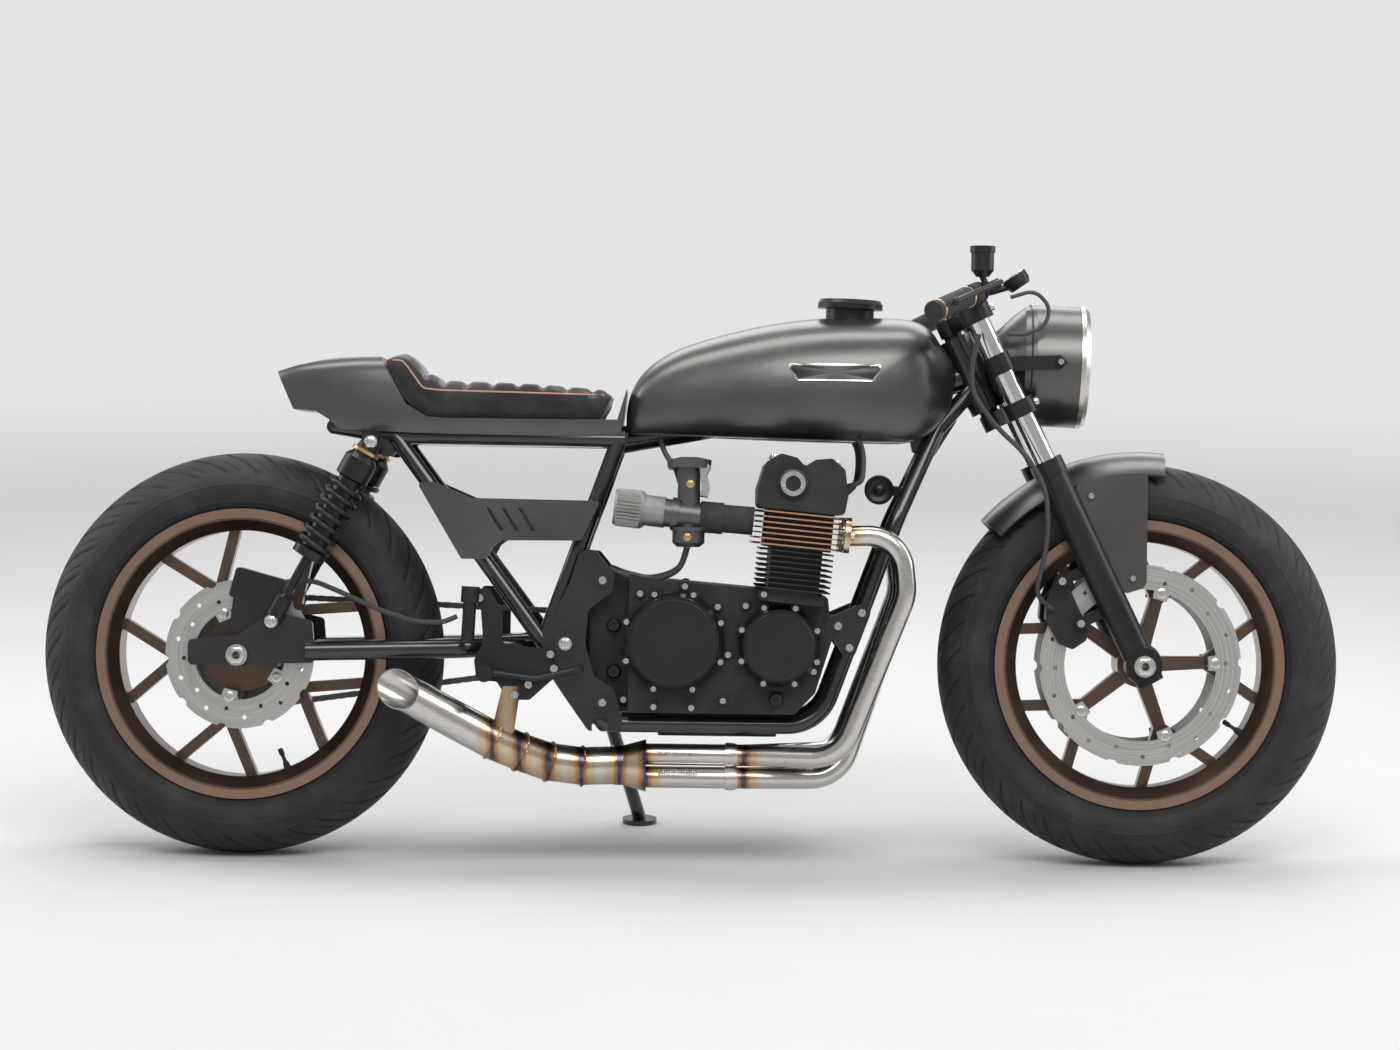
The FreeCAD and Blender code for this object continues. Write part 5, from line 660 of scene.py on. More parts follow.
def length_setting(name, words, default):
    """Length that a user may change."""
    return bpy.props.FloatProperty(name=name, description=words, default=default, min=0.0001, unit="LENGTH",
                                   precision=4)


class MachineColours(bpy.types.PropertyGroup):
    """Colours of the machine's finishes."""

    bodywork: colour_setting("Bodywork", "Satin paint of tank, tail, panels and lamp", (0.112, 0.109, 0.105))
    bronze: colour_setting("Wheel bronze", "Satin bronze of the cast wheels", (0.135, 0.088, 0.064))
    black: colour_setting("Black", "Frame, fork and small parts", (0.014, 0.014, 0.015))
    engine: colour_setting("Engine", "Black coating of the engine cases", (0.020, 0.020, 0.021))
    copper: colour_setting("Copper", "Seat thread, and rubbed edges of the fins", (0.56, 0.30, 0.17))
    steel: colour_setting("Steel", "Bare stainless of pipes and fasteners", (0.62, 0.60, 0.57))
    suede: colour_setting("Suede", "Seat cover", (0.012, 0.011, 0.011))
    rubber: colour_setting("Rubber", "Tyres, grips and boots", (0.018, 0.018, 0.019))


class MachineSizes(bpy.types.PropertyGroup):
    """Sizes of the added trim."""

    screw: length_setting("Screw head", "Radius of the cover screws", 0.0048)
    thread: length_setting("Thread", "Radius of the seat's contrast thread", 0.0009)
    voxel: length_setting("Cushion voxel", "Grid on which the seat is rebuilt", 0.005)
    roll: length_setting("Roll depth", "How deep each seam draws the seat's top in", 0.0055)
    swell: length_setting("Cushion swell", "How far the seat may swell when filled", 0.006)


def make_finishes(colours):
    """Every finish of the machine, by name."""
    body, bronze, black, engine, copper, steel, suede, rubber = [
        tuple(getattr(colours, name)) for name in MachineColours.__annotations__]
    coated_metal("bodywork_satin", body, 0.88, 0.36, 2300.0, coat=0.12, spread=0.10)
    coated_metal("frame_gloss", black, 0.1, 0.24, 900.0, coat=0.6, spread=0.2)
    coated_metal("black_satin", black, 0.4, 0.38, 1500.0, spread=0.25, scuff=(0.05, 0.048, 0.045))
    coated_metal("black_forged", shaded(black, 1.5), 0.5, 0.45, 700.0, orange_peel=0.0001, spread=0.25,
                 scuff=(0.07, 0.065, 0.06))
    coated_metal("cover_satin", shaded(engine, 1.25), 0.55, 0.38, 1300.0, orange_peel=0.00005, spread=0.2)
    coated_metal("carb_alloy", (0.11, 0.11, 0.112), 0.8, 0.42, 900.0, orange_peel=0.0001, spread=0.2)
    coated_metal("chain_steel", (0.13, 0.12, 0.115), 0.95, 0.40, 600.0, spread=0.3, scuff=(0.36, 0.34, 0.32))
    coated_metal("dial_white", (0.66, 0.66, 0.64), 0.0, 0.45, 500.0, spread=0.05)
    coated_metal("badge_dark", (0.055, 0.055, 0.057), 0.85, 0.40, 1800.0, spread=0.15)
    cast_black("engine_cast", engine)
    finned_head("head_fins", engine, shaded(copper, 1.15))
    heat_tinted("stainless_tinted", steel)
    brushed_steel("steel_turned", steel, 0.28, (500.0, 60.0, 500.0))
    brushed_steel("screw_steel", (0.66, 0.65, 0.63), 0.26, (300.0, 300.0, 300.0))
    brushed_steel("hard_chrome", (0.78, 0.78, 0.79), 0.12, (900.0, 900.0, 60.0), FORK, 0.000004)
    brushed_steel("bright_reflector", (0.85, 0.85, 0.86), 0.14, (200.0, 200.0, 200.0), LAMP, 0.000003)
    brushed_steel("adjuster_gold", (0.66, 0.43, 0.20), 0.3, (400.0, 400.0, 400.0))
    for end, place in (("front", FRONT_WHEEL), ("rear", REAR_WHEEL)):
        ground_disc("disc_" + end, (0.62, 0.61, 0.59), place)
        wheel_paint("wheel_" + end + "_bronze", bronze, place)
        tyre_rubber("tyre_" + end + "_rubber", rubber, place)
    moulded_rubber("moulded_rubber", rubber, 0.6, 420.0)
    moulded_rubber("grip_rubber", rubber, 0.66, 260.0)
    braided_line("hose_cover", (0.03, 0.03, 0.03))
    napped_suede("seat_suede", suede)
    twisted_thread("copper_thread", copper)
    clear_glass("lamp_glass", (0.97, 0.98, 0.99))
    wire_gauze("filter_gauze", (0.42, 0.41, 0.40))


NODES_BY_FINISH = {
    "frame_gloss": "main_frame engine_mounts swingarm side_stand",
    "black_satin": "shocks filler_cap triple_clamps fork_sliders lamp_brackets handlebars levers gauge",
    "black_forged": "rear_caliper front_calipers rearsets",
    "bodywork_satin": "fuel_tank tail_cowl side_panels front_fender headlight_bucket",
    "engine_cast": "crankcase cylinder_block cam_cover",
    "cover_satin": "case_covers",
    "head_fins": "cylinder_head",
    "carb_alloy": "carburettors",
    "moulded_rubber": "intake_rubbers",
    "filter_gauze": "pod_filters",
    "stainless_tinted": "exhaust_headers exhaust_pipe",
    "steel_turned": "rear_axle front_axle headlight_ring",
    "hard_chrome": "fork_tubes",
    "lamp_glass": "headlight_lens",
    "seat_suede": "seat_pad",
    "hose_cover": "rear_brake_hose control_lines",
    "grip_rubber": "grips",
    "chain_steel": "drive_chain rear_sprocket",
    "wheel_front_bronze": "front_wheel",
    "wheel_rear_bronze": "rear_wheel",
    "tyre_front_rubber": "front_tyre",
    "tyre_rear_rubber": "rear_tyre",
    "disc_front": "front_discs",
    "disc_rear": "rear_disc",
}


class MACHINE_OT_finishes(bpy.types.Operator):
    """Give every CAD piece its own worked-out finish."""

    bl_idname = "machine.finishes"
    bl_label = "Finishes"

    def execute(self, context):
        make_finishes(context.scene.machine_colours)
        for finish, names in NODES_BY_FINISH.items():
            for name in names.split():
                mesh = frame["nodes"][name].data
                mesh.materials.clear()
                mesh.materials.append(FINISHES[finish])
        return {"FINISHED"}


class MACHINE_OT_seat(bpy.types.Operator):
    """Sewn solo seat: a filled cushion over the CAD pad, rolls across it, piping and stitches."""

    bl_idname = "machine.seat"
    bl_label = "Seat"

    def execute(self, context):
        sizes = context.scene.machine_sizes
        cushion = self.cushion(context, sizes)
        reach = surface(cushion.data)
        self.stitches(reach, sizes.thread)
        self.piping(reach)
        return {"FINISHED"}

    def cushion(self, context, sizes):
        """Copy of the pad, rebuilt on an even grid, filled with cloth pressure and held near its shape."""
        mesh = frame["nodes"]["seat_pad"].data.copy()
        mesh.name = "seat_cushion"
        soft = bmesh.new()
        soft.from_mesh(mesh)
        bmesh.ops.remove_doubles(soft, verts=soft.verts, dist=2e-5)
        soft.to_mesh(mesh)
        soft.free()
        cushion = bpy.data.objects.new("seat_cushion", mesh)
        context.scene.collection.objects.link(cushion)
        self.modify(cushion, "REMESH", mode="VOXEL", voxel_size=sizes.voxel, use_smooth_shade=True)
        self.apply(context, cushion)
        rest = read(cushion, "co") - read(cushion, "normal") * CUSHION_INSET
        write(cushion, rest)
        cloth = cushion.modifiers.new("filling", "CLOTH")
        cloth.settings.use_pressure = True
        cloth.settings.uniform_pressure_force = FILL_PRESSURE
        cloth.settings.effector_weights.gravity = 0.0
        cloth.settings.quality = 5
        cloth.point_cache.frame_start = 1
        cloth.point_cache.frame_end = FILL_STEPS
        for step in range(1, FILL_STEPS + 1):
            context.scene.frame_set(step)
        self.apply(context, cushion)
        context.scene.frame_set(1)
        move = read(cushion, "co") - rest
        length = np.linalg.norm(move, axis=1)[:, None]
        write(cushion, rest + move * np.minimum(1, sizes.swell / np.maximum(length, 1e-9)))
        self.modify(cushion, "SMOOTH", factor=0.5, iterations=3)
        self.modify(cushion, "SUBSURF", levels=1, render_levels=1)
        self.apply(context, cushion)
        self.rolls(cushion, sizes.roll)
        cushion.data.materials.clear()
        cushion.data.materials.append(FINISHES["seat_suede"])
        cushion.data.shade_smooth()
        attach(cushion, "frame")
        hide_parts("seat_pad")
        return cushion

    def modify(self, piece, kind, **settings):
        """Modifier of a kind, with its settings."""
        modifier = piece.modifiers.new(kind.lower(), kind)
        for name, value in settings.items():
            setattr(modifier, name, value)

    def apply(self, context, piece):
        """Bake the modifiers into the mesh."""
        baked = bpy.data.meshes.new_from_object(piece.evaluated_get(context.evaluated_depsgraph_get()))
        piece.modifiers.clear()
        piece.data = baked

    def rolls(self, cushion, roll):
        """Draw the top in along each seam: depth times exp(-(distance/width)^2), only where it faces up."""
        spots = read(cushion, "co")
        ways = read(cushion, "normal")
        back = np.array(UPRIGHT)
        upright = carried(spots, back)
        facing_up = np.clip((ways @ back[:3, :3].T)[:, 2] * 2.2 - 0.5, 0, 1)
        near = np.abs(upright[:, [0]] - np.array(SEAMS)[None, :] * WHEELBASE).min(axis=1)
        inside = np.clip((SEAM_HALF_LENGTH - np.abs(upright[:, 1])) / SEAM_FADE, 0, 1)
        inside *= np.clip((upright[:, 0] - HUMP_START) / HUMP_FADE, 0, 1)
        depth = roll * np.exp(-(near / SEAM_WIDTH) ** 2) * facing_up * inside
        write(cushion, spots - ways * depth[:, None])

    def stitches(self, reach, thread):
        """Contrast thread across the rolls, each stitch laid on the cushion's own surface."""
        shapes = []
        for share in SEAMS:
            for y in np.arange(-STITCHED_HALF, STITCHED_HALF, STITCH_PITCH):
                ends = [struck(reach, (share * WHEELBASE, y + shift, ABOVE_SEAT), (0, 0, -1))
                        for shift in (-STITCH_HALF, STITCH_HALF)]
                if None not in ends:
                    start, end = [np.array(spot) + (0, 0, thread * 0.3) for spot in ends]
                    shapes.append(tube(np.linspace(start, end, 5), thread, 6, (0.4, 1, 1, 1, 0.4)))
        add_piece("seat_roll_stitches", joined(shapes), "copper_thread")

    def piping(self, reach):
        """Piping along both sides, laid where lines from the side meet the cushion."""
        lines = []
        for side in SIDES:
            route = []
            for x in np.arange(*PIPING_ENDS, PIPING_STEP):
                height = np.interp(x, PIPING_X, PIPING_Z)
                spot = struck(reach, (x, side * BESIDE_SEAT, height), (0, -side, 0))
                if spot is not None:
                    route.append(np.array(spot))
            if len(route) > 8:
                lines.append(tube(through(route[::4], len(route) * 2), PIPING_RADIUS, 10))
        add_piece("seat_piping", joined(lines), "copper_thread")


class MACHINE_OT_chain(bpy.types.Operator):
    """Roller chain: side plates, rollers and pins carried round both sprockets."""

    bl_idname = "machine.chain"
    bl_label = "Chain"

    def execute(self, context):
        pins = self.pins()
        ahead = np.roll(pins, -1, axis=0)
        middle = (pins + ahead) / 2
        turn = np.arctan2(*(ahead - pins).T[::-1])
        lying = turned(90, "X")
        links = []
        for index in range(len(pins)):
            base = (moved(middle[index, 0], CHAIN_LINE, middle[index, 1])
                    @ Matrix.Rotation(-turn[index], 4, "Y") @ lying)
            gap = LINK_GAPS[index % 2]
            links += [base @ moved(0, 0, gap), base @ moved(0, 0, -gap)]
        rollers = [moved(x, CHAIN_LINE, z) @ lying for x, z in pins]
        barrel = lathe([(0, -0.0088), (0.0024, -0.0088), (0.0024, -0.0043), (0.0050, -0.0043),
                        (0.0050, 0.0043), (0.0024, 0.0043), (0.0024, 0.0088), (0, 0.0088)], 12)
        chain = add_piece("chain_links", joined([copies(self.link(), links), copies(barrel, rollers)]),
                          "chain_steel")
        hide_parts("drive_chain")
        return {"FINISHED"}

    def link(self):
        """Side plate: an oval whose waist is drawn in by exp(-(distance from its middle)^2)."""
        t = once_round(24)[:-1]
        across = (CHAIN_PITCH / 2 + LINK_END) * np.cos(t)
        waist = 1 - LINK_WAIST * np.exp(-(across / (CHAIN_PITCH * LINK_WAIST)) ** 2)
        rise = LINK_HALF_HEIGHT * np.sign(np.sin(t)) * np.abs(np.sin(t)) ** 0.75 * waist
        return plate(np.stack([across, rise], axis=-1), -0.0008, 0.0008, 0.0002)

    def pins(self):
        """Pin places at even steps of a belt line: top run, large wheel, lower run, small wheel.

        A wheel's pitch circle has the radius pitch/2/sin(pi/teeth), and both runs touch both circles.
        """
        near = np.array(CHAIN_FRONT)
        far = np.array((REAR_AXLE.x, REAR_AXLE.z))
        small, large = [CHAIN_PITCH / 2 / math.sin(math.pi / teeth) for teeth in (FRONT_TEETH, REAR_TEETH)]
        span = far - near
        length = np.linalg.norm(span)
        tilt = math.atan2(span[1], span[0])
        lean = math.acos((small - large) / length)
        straight = length * math.sin(lean)
        far_arc = large * 2 * lean
        total = 2 * straight + far_arc + small * 2 * (math.pi - lean)
        count = 2 * round(total / CHAIN_PITCH / 2)
        along = np.arange(count) * total / count
        zones = [along < straight, along < straight + far_arc, along < 2 * straight + far_arc]
        angle = np.select(zones, [tilt + lean + 0 * along, tilt + lean - (along - straight) / large,
                                  tilt - lean + 0 * along],
                          tilt - lean - (along - 2 * straight - far_arc) / small)
        share = np.select(zones, [along / straight, 1 + 0 * along,
                                  1 - (along - straight - far_arc) / straight], 0 * along)
        radius = (small + (large - small) * share)[:, None]
        return near + span * share[:, None] + radius * np.stack([np.cos(angle), np.sin(angle)], axis=-1)


class MACHINE_OT_fasteners(bpy.types.Operator):
    """Cap screws, nuts and washers on covers, plates, discs, calipers and clamps."""

    bl_idname = "machine.fasteners"
    bl_label = "Fasteners"

    def execute(self, context):
        screw = context.scene.machine_sizes.screw
        small = socket_screw(screw, screw)
        large = socket_screw(screw * 1.35, screw * 1.3)
        self.on_engine(small, large)
        self.nuts(screw)
        self.on_fork(small, large)
        self.on_wheels(screw)
        return {"FINISHED"}

    def on_engine(self, small, large):
        """Screws round the covers, on the plates each side, on the head and on the exhaust flanges."""
        spots = [facing(round_spot(radius, COVER_SCREW_SPACING * (index + 0.5), side * COVER_FACE, x, z),
                        (0, side, 0), index)
                 for x, z, radius, side in COVER_CIRCLES for index in range(360 // COVER_SCREW_SPACING)]
        add_piece("cover_screws", copies(small, spots), "screw_steel")
        plates = ((-0.1538, 0.2294, 0.1555), (-0.1497, 0.2140, 0.1555), (-0.2322, 0.2902, 0.1555),
                  (-0.1776, 0.1958, 0.1555), (-0.0965, 0.1769, 0.1441), (-0.0979, 0.3112, 0.1441),
                  (0.1874, 0.2790, 0.1442), (0.1741, 0.2406, 0.1442), (0.1615, 0.2643, 0.1442))
        spots = [facing(side_point(x, z, side * y), (0, side, 0), side)
                 for x, z, y in plates for side in SIDES]
        spots.append(facing(side_point(-0.1925, 0.1850, -0.1608), RIGHT))
        block = UPRIGHT @ CYLINDERS
        spots += [facing(block @ Vector((x, y, 0.2065)), (0.09, 0, 1))
                  for x in (0.049, -0.049) for y in (-0.17, 0.17, -0.06, 0.06)]
        spots += [facing(block @ Vector((0.0812, y + shift, 0.0978)), (0.996, 0, -0.09))
                  for y in BORES for shift in (-0.0225, 0.0225)]
        add_piece("engine_screws", copies(large, spots), "screw_steel")

    def nuts(self, screw):
        """Nuts of the swingarm pivot, the shocks and both axles."""
        spots = outward([side_point(-0.138, 0.241, 0.1471), side_point(*SHOCK_TOP, 0.1479),
                         side_point(*SHOCK_FOOT, 0.1479)])
        nut = hex_nut(screw * 1.75, screw * 1.6)
        add_piece("pivot_nuts", copies(nut, spots), "screw_steel")
        ring = hex_nut(screw * 2.6, screw * 1.6, AXLE_BORE)
        for name, reach, body, place in (("front_axle_nuts", 0.1379, "steering", FRONT_WHEEL),
                                         ("rear_axle_nuts", 0.1339, "frame", REAR_WHEEL)):
            spots = outward([(0, reach, 0)])
            add_piece(name, copies(ring, spots), "screw_steel", body, place)

    def on_fork(self, small, large):
        """Pinch bolts of clamps and bars, caliper bolts, and the fender's and lamp's bolts."""
        spots = outward([(-0.0600, 0.1069, 0.10304), (-0.05792, 0.1069, 0.1760)])
        for side in SIDES:
            spots += [facing((0.0255, side * 0.100, height), (1, 0, 0)) for height in (0.451, 0.616)]
            spots.append(facing((-0.0248, side * 0.100, BAR_HEIGHT), (-1, 0, 0)))
        add_piece("clamp_bolts", copies(large, spots), "screw_steel", "steering", FORK)
        spots = outward([side_point(0.4420, 0.4112, 0.0775), side_point(0.4895, 0.3203, 0.0775),
                         side_point(0.4049, 0.5587, 0.1089)])
        add_piece("fender_bolts", copies(small, spots), "screw_steel", "steering")

    def on_wheels(self, screw):
        """Disc buttons, sprocket bolts and the tyre valves."""
        button = lathe([(screw * reach, screw * rise) for reach, rise in (
            (0, 0), (1.7, 0), (1.7, 0.35), (1.1, 0.55), (1.1, 0.9), (0.5, 0.9), (0.45, 0.4), (0, 0.4))], 24)
        turns = range(0, 360, DISC_SCREW_SPACING)
        spots = outward([round_spot(FRONT_DISC_CIRCLE, 2.2 + turn, 0.0645) for turn in turns])
        add_piece("front_disc_buttons", copies(button, spots), "screw_steel", "front_wheel",
                  FRONT_WHEEL)
        spots = [facing(round_spot(REAR_DISC_CIRCLE, 40.7 + turn, -0.0825), RIGHT) for turn in turns]
        spots += [facing(round_spot(SPROCKET_CIRCLE, 4.7 + turn, 0.0955), LEFT) for turn in turns]
        add_piece("rear_disc_buttons", copies(button, spots), "screw_steel", "rear_wheel",
                  REAR_WHEEL)
        stem = lathe([(0, 0), (0.0058, 0), (0.0050, 0.010), (0.0030, 0.013), (0.0030, 0.024),
                      (0.0042, 0.024), (0.0042, 0.034), (0.0030, 0.035), (0, 0.035)], 16)
        for end, place, angle in (("front", FRONT_WHEEL, -33.0), ("rear", REAR_WHEEL, -68.3)):
            spot = facing(round_spot(VALVE_CIRCLE, angle, -0.020), round_spot(-1, angle, -0.25))
            add_piece(end + "_valve", copies(stem, [spot]), "moulded_rubber", end + "_wheel",
                      place)


class MACHINE_OT_tyres(bpy.types.Operator):
    """Road tyres with cut grooves and raised rings on the walls."""

    bl_idname = "machine.tyres"
    bl_label = "Tyres"

    def execute(self, context):
        for end, place, half, edge, bead, periods in (("front", FRONT_WHEEL, 0.065, 0.06045, 0.0449, 40),
                                                      ("rear", REAR_WHEEL, 0.075, 0.06975, 0.0559, 36)):
            tyre = add_piece(end + "_tyre_tread", self.tyre(half, edge, bead, periods),
                             "tyre_" + end + "_rubber", end + "_wheel", place, 50)
            x, y, z = carried(read(tyre, "co"), place.inverted()).T
            across = np.abs(y)
            radius = np.hypot(x, z)
            depth = (self.tread_radius(across, edge) - radius) / GROOVE_DEPTH
            depth = np.where((across < edge) & (radius > TREAD_LIMIT), depth, 0)
            # Groove depth per point, 0 to 1, kept as the mask for the painted shade drawn in the grooves.
            groove = tyre.data.attributes.new("groove", "FLOAT", "POINT")
            groove.data.foreach_set("value", np.clip(depth, 0, 1))
            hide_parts(end + "_tyre")
        return {"FINISHED"}

    def tread_radius(self, across, edge):
        """Radius of the crown's arc at a distance from the middle plane."""
        curve = (TREAD_DROP ** 2 + edge ** 2) / (2 * TREAD_DROP)
        return CROWN_RADIUS - curve + np.sqrt(np.maximum(curve ** 2 - np.minimum(across, edge) ** 2, 0))

    def wall(self, edge, half, bead, count):
        """Arc through the tread's edge, the widest point and the bead: radius, distance from the middle."""
        (ax, ay), (bx, by), (cx, cy) = (EDGE_RADIUS, edge), (WIDEST_RADIUS, half), (BEAD_RADIUS, bead)
        d = 2 * (ax * (by - cy) + bx * (cy - ay) + cx * (ay - by))
        a, b, c = ax * ax + ay * ay, bx * bx + by * by, cx * cx + cy * cy
        x = (a * (by - cy) + b * (cy - ay) + c * (ay - by)) / d
        y = (a * (cx - bx) + b * (ax - cx) + c * (bx - ax)) / d
        turn = np.linspace(math.atan2(ay - y, ax - x), math.atan2(cy - y, cx - x), count)
        reach = math.hypot(ax - x, ay - y)
        radius = x + reach * np.cos(turn)
        rings = sum(np.exp(-((radius - ring) / WALL_RING_WIDTH) ** 2) for ring in WALL_RINGS)
        return radius, y + reach * np.sin(turn) + WALL_RING_HEIGHT * rings

    def tyre(self, half, edge, bead, periods):
        """Profile carried round the axle; each column runs along a groove, its angle shifted by across^1.5.

        A groove is cut where its fraction of the period is 0.45 to 0.55, with a short one between.
        """
        parts = np.array((0, 0.025, 0.05, 0.08, 0.105, 0.13, 0.27, 0.42, 0.45, 0.50, 0.55, 0.58, 0.72, 0.86))
        share = np.append((np.arange(periods)[:, None] + parts).ravel(), periods)
        part = share % 1
        main = np.interp(part, (0.42, 0.45, 0.55, 0.58), (0, 1, 1, 0))
        short = np.interp(part, (0.025, 0.05, 0.08, 0.105), (0, 1, 1, 0))
        y = np.sin(np.linspace(-1, 1, 65) * CROWN_SPREAD) / math.sin(CROWN_SPREAD) * edge
        across = np.abs(y) / edge
        cut = (main[:, None] * np.interp(across, (0.08, 0.16, 0.88, 0.96), (0, 1, 1, 0))
               + short[:, None] * np.interp(across, (0.50, 0.58, 0.84, 0.92), (0, 1, 1, 0)) * 0.8)
        crown = self.tread_radius(across * edge, edge) - GROOVE_DEPTH * cut
        wall, reach = [values[1:] for values in self.wall(edge, half, bead, 41)]
        radius = np.hstack([np.tile(wall[::-1], (len(share), 1)), crown, np.tile(wall, (len(share), 1))])
        side = np.concatenate([-reach[::-1], y, reach])
        lean = np.concatenate([np.ones(len(wall)), across, np.ones(len(wall))])
        skew = lean ** 1.5 * GROOVE_SLANT + np.tanh(side / 0.004) * GROOVE_OFFSET
        angle = (share[:, None] - skew) * 2 * np.pi / periods
        points = np.stack([radius * np.cos(angle), side + 0 * angle, radius * np.sin(angle)], axis=-1)
        return grid(np.concatenate([points, points[:, :1]], axis=1))


class MACHINE_OT_headlight(bpy.types.Operator):
    """Lamp inside: pressed reflector, bulb shield and fluted glass."""

    bl_idname = "machine.headlight"
    bl_label = "Headlight"

    def execute(self, context):
        bowl = lathe([(0, 0.0012), (0.020, 0.0014), (0.045, 0.0034), (0.065, 0.0068), (0.0835, 0.0118),
                      (0.0838, 0.0106), (0.065, 0.0056), (0.045, 0.0022), (0.020, 0.0009), (0, 0.0008)], 72)
        shield = lathe([(0, 0.0014), (0.0125, 0.0014), (0.0125, 0.0070), (0.0110, 0.0098), (0.006, 0.0112),
                        (0, 0.0116)], 32)
        add_piece("lamp_reflector", bowl, "bright_reflector", "steering", LAMP)
        add_piece("lamp_bulb_shield", shield, "hard_chrome", "steering", LAMP)
        glass = add_piece("lamp_glass_front", self.glass(), "lamp_glass", "steering", LAMP)
        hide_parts("headlight_lens")
        return {"FINISHED"}

    def glass(self):
        """Domed disc, falling off with its radius squared, with cosine flutes on its inner face."""
        across = np.linspace(0, GLASS_RADIUS, 40)
        across = np.concatenate([across, across[::-1]])
        inner = np.arange(80) >= 40
        dome = GLASS_CROWN - GLASS_DROP * (across / GLASS_RADIUS) ** 2
        points = level(across, once_round(96)[:, None], dome)
        y = points[..., 1]
        flute = FLUTE_DEPTH * np.cos(y * 700.0) * (np.abs(y) < FLUTED_HALF)
        points[..., 2] += np.where(inner, flute - GLASS_THICKNESS, 0)
        return grid(points)


class MACHINE_OT_cockpit(bpy.types.Operator):
    """Dial face with its marks, switch housings, and rings at the grips' ends."""

    bl_idname = "machine.cockpit"
    bl_label = "Cockpit"

    def execute(self, context):
        face = lathe([(0, 0.0211), (0.0172, 0.0211), (0.0172, 0.0214), (0, 0.0214)])
        bezel = lathe([(0.0172, 0.0209), (0.0205, 0.0209), (0.0205, 0.0226), (0.0190, 0.0234),
                       (0.0172, 0.0226), (0.0172, 0.0209)], 48)
        tick = plate([(-0.0003, -0.0014), (0.0003, -0.0014), (0.0003, 0.0014), (-0.0003, 0.0014)],
                     0.0213, 0.0217, 0.0001)
        marks = [turned(angle, "Z") @ moved(0, 0.0145, 0) for angle in range(-135, 136, 15)]
        needle = plate([(-0.0007, -0.004), (0.0007, -0.004), (0.0002, 0.0125), (-0.0002, 0.0125)],
                       0.0217, 0.0222, 0.0001)
        marked = joined([copies(tick, marks), copies(needle, [turned(135, "Z")])])
        add_piece("dial_face", face, "dial_white", "steering", DIAL)
        add_piece("dial_bezel", bezel, "screw_steel", "steering", DIAL)
        add_piece("dial_marks", marked, "black_satin", "steering", DIAL)
        self.on_bars()
        return {"FINISHED"}

    def on_bars(self):
        """Rings each end of the grips, and a switch housing on each bar."""
        rings = []
        boxes = []
        for side in SIDES:
            elbow, end = [Vector((x, side * y, BAR_HEIGHT)) for x, y in (BAR_ELBOW, BAR_END)]
            way = (end - elbow).normalized()
            rings += [facing(end - way * 0.010, way), facing(elbow + way * 0.0300, way)]
            boxes.append(facing(elbow + way * 0.004, way))
        ring = lathe([(0.0155, 0), (0.0171, 0.0006), (0.0171, 0.0050), (0.0155, 0.0056), (0.0155, 0)])
        add_piece("grip_rings", copies(ring, rings), "adjuster_gold", "steering", FORK)
        add_piece("switch_housings", copies(self.housing(), boxes), "moulded_rubber",
                  "steering", FORK)

    def housing(self):
        """Square with rounded corners, (cos^4 + sin^4)^(-1/4), at several heights."""
        turn = once_round(40)
        square = 0.0162 * (np.cos(turn) ** 4 + np.sin(turn) ** 4) ** -0.25
        rings = ((0.62, 0), (1, 0.0015), (1.04, 0.012), (1, 0.0225), (0.62, 0.024), (0.62, 0))
        return grid(np.stack([level(square * share, turn, height) for share, height in rings], axis=1))


class MACHINE_OT_bodywork(bpy.types.Operator):
    """Blank plates on the tank's sides and the bead round the lamp."""

    bl_idname = "machine.bodywork"
    bl_label = "Bodywork trim"

    def execute(self, context):
        for side, name in ((-1, "right"), (1, "left")):
            rim = self.badge(side, 0.0750, 0.0140, 0.0016)
            field = self.badge(side, 0.0715, 0.0108, 0.0024)
            add_piece("tank_badge_rim_" + name, rim, "steel_turned")
            add_piece("tank_badge_" + name, field, "badge_dark")
        seam = lathe([(0.0966, -0.0790), (0.0976, -0.0786), (0.0979, -0.0778), (0.0976, -0.0770),
                      (0.0966, -0.0766), (0.0966, -0.0790)], 96)
        add_piece("lamp_seam", seam, "black_satin", "steering", LAMP)
        return {"FINISHED"}

    def badge(self, side, half, tall, lift):
        """Blank plate: a long outline with cut corners, laid on the tank's side and lifted off it."""
        layers = []
        top = lift + 0.0005
        for share, height in ((0, -0.003), (1, -0.003), (1, lift), (0.985, top), (0, top)):
            ring = []
            for way, length in ((1, half), (-1, half * 0.87)):
                for step in np.linspace(-1, 1, 41)[::way]:
                    corner = min(1.0, (1 - abs(step)) / 0.10 + 0.45)
                    x = BADGE_MIDDLE[0] + step * length * share
                    z = BADGE_MIDDLE[1] + way * tall * corner * share
                    ring.append((x, surface_spot(("fuel_tank",), x, z, side).y + side * height, z))
            layers.append(ring + ring[:1])
        return grid(np.array(layers))


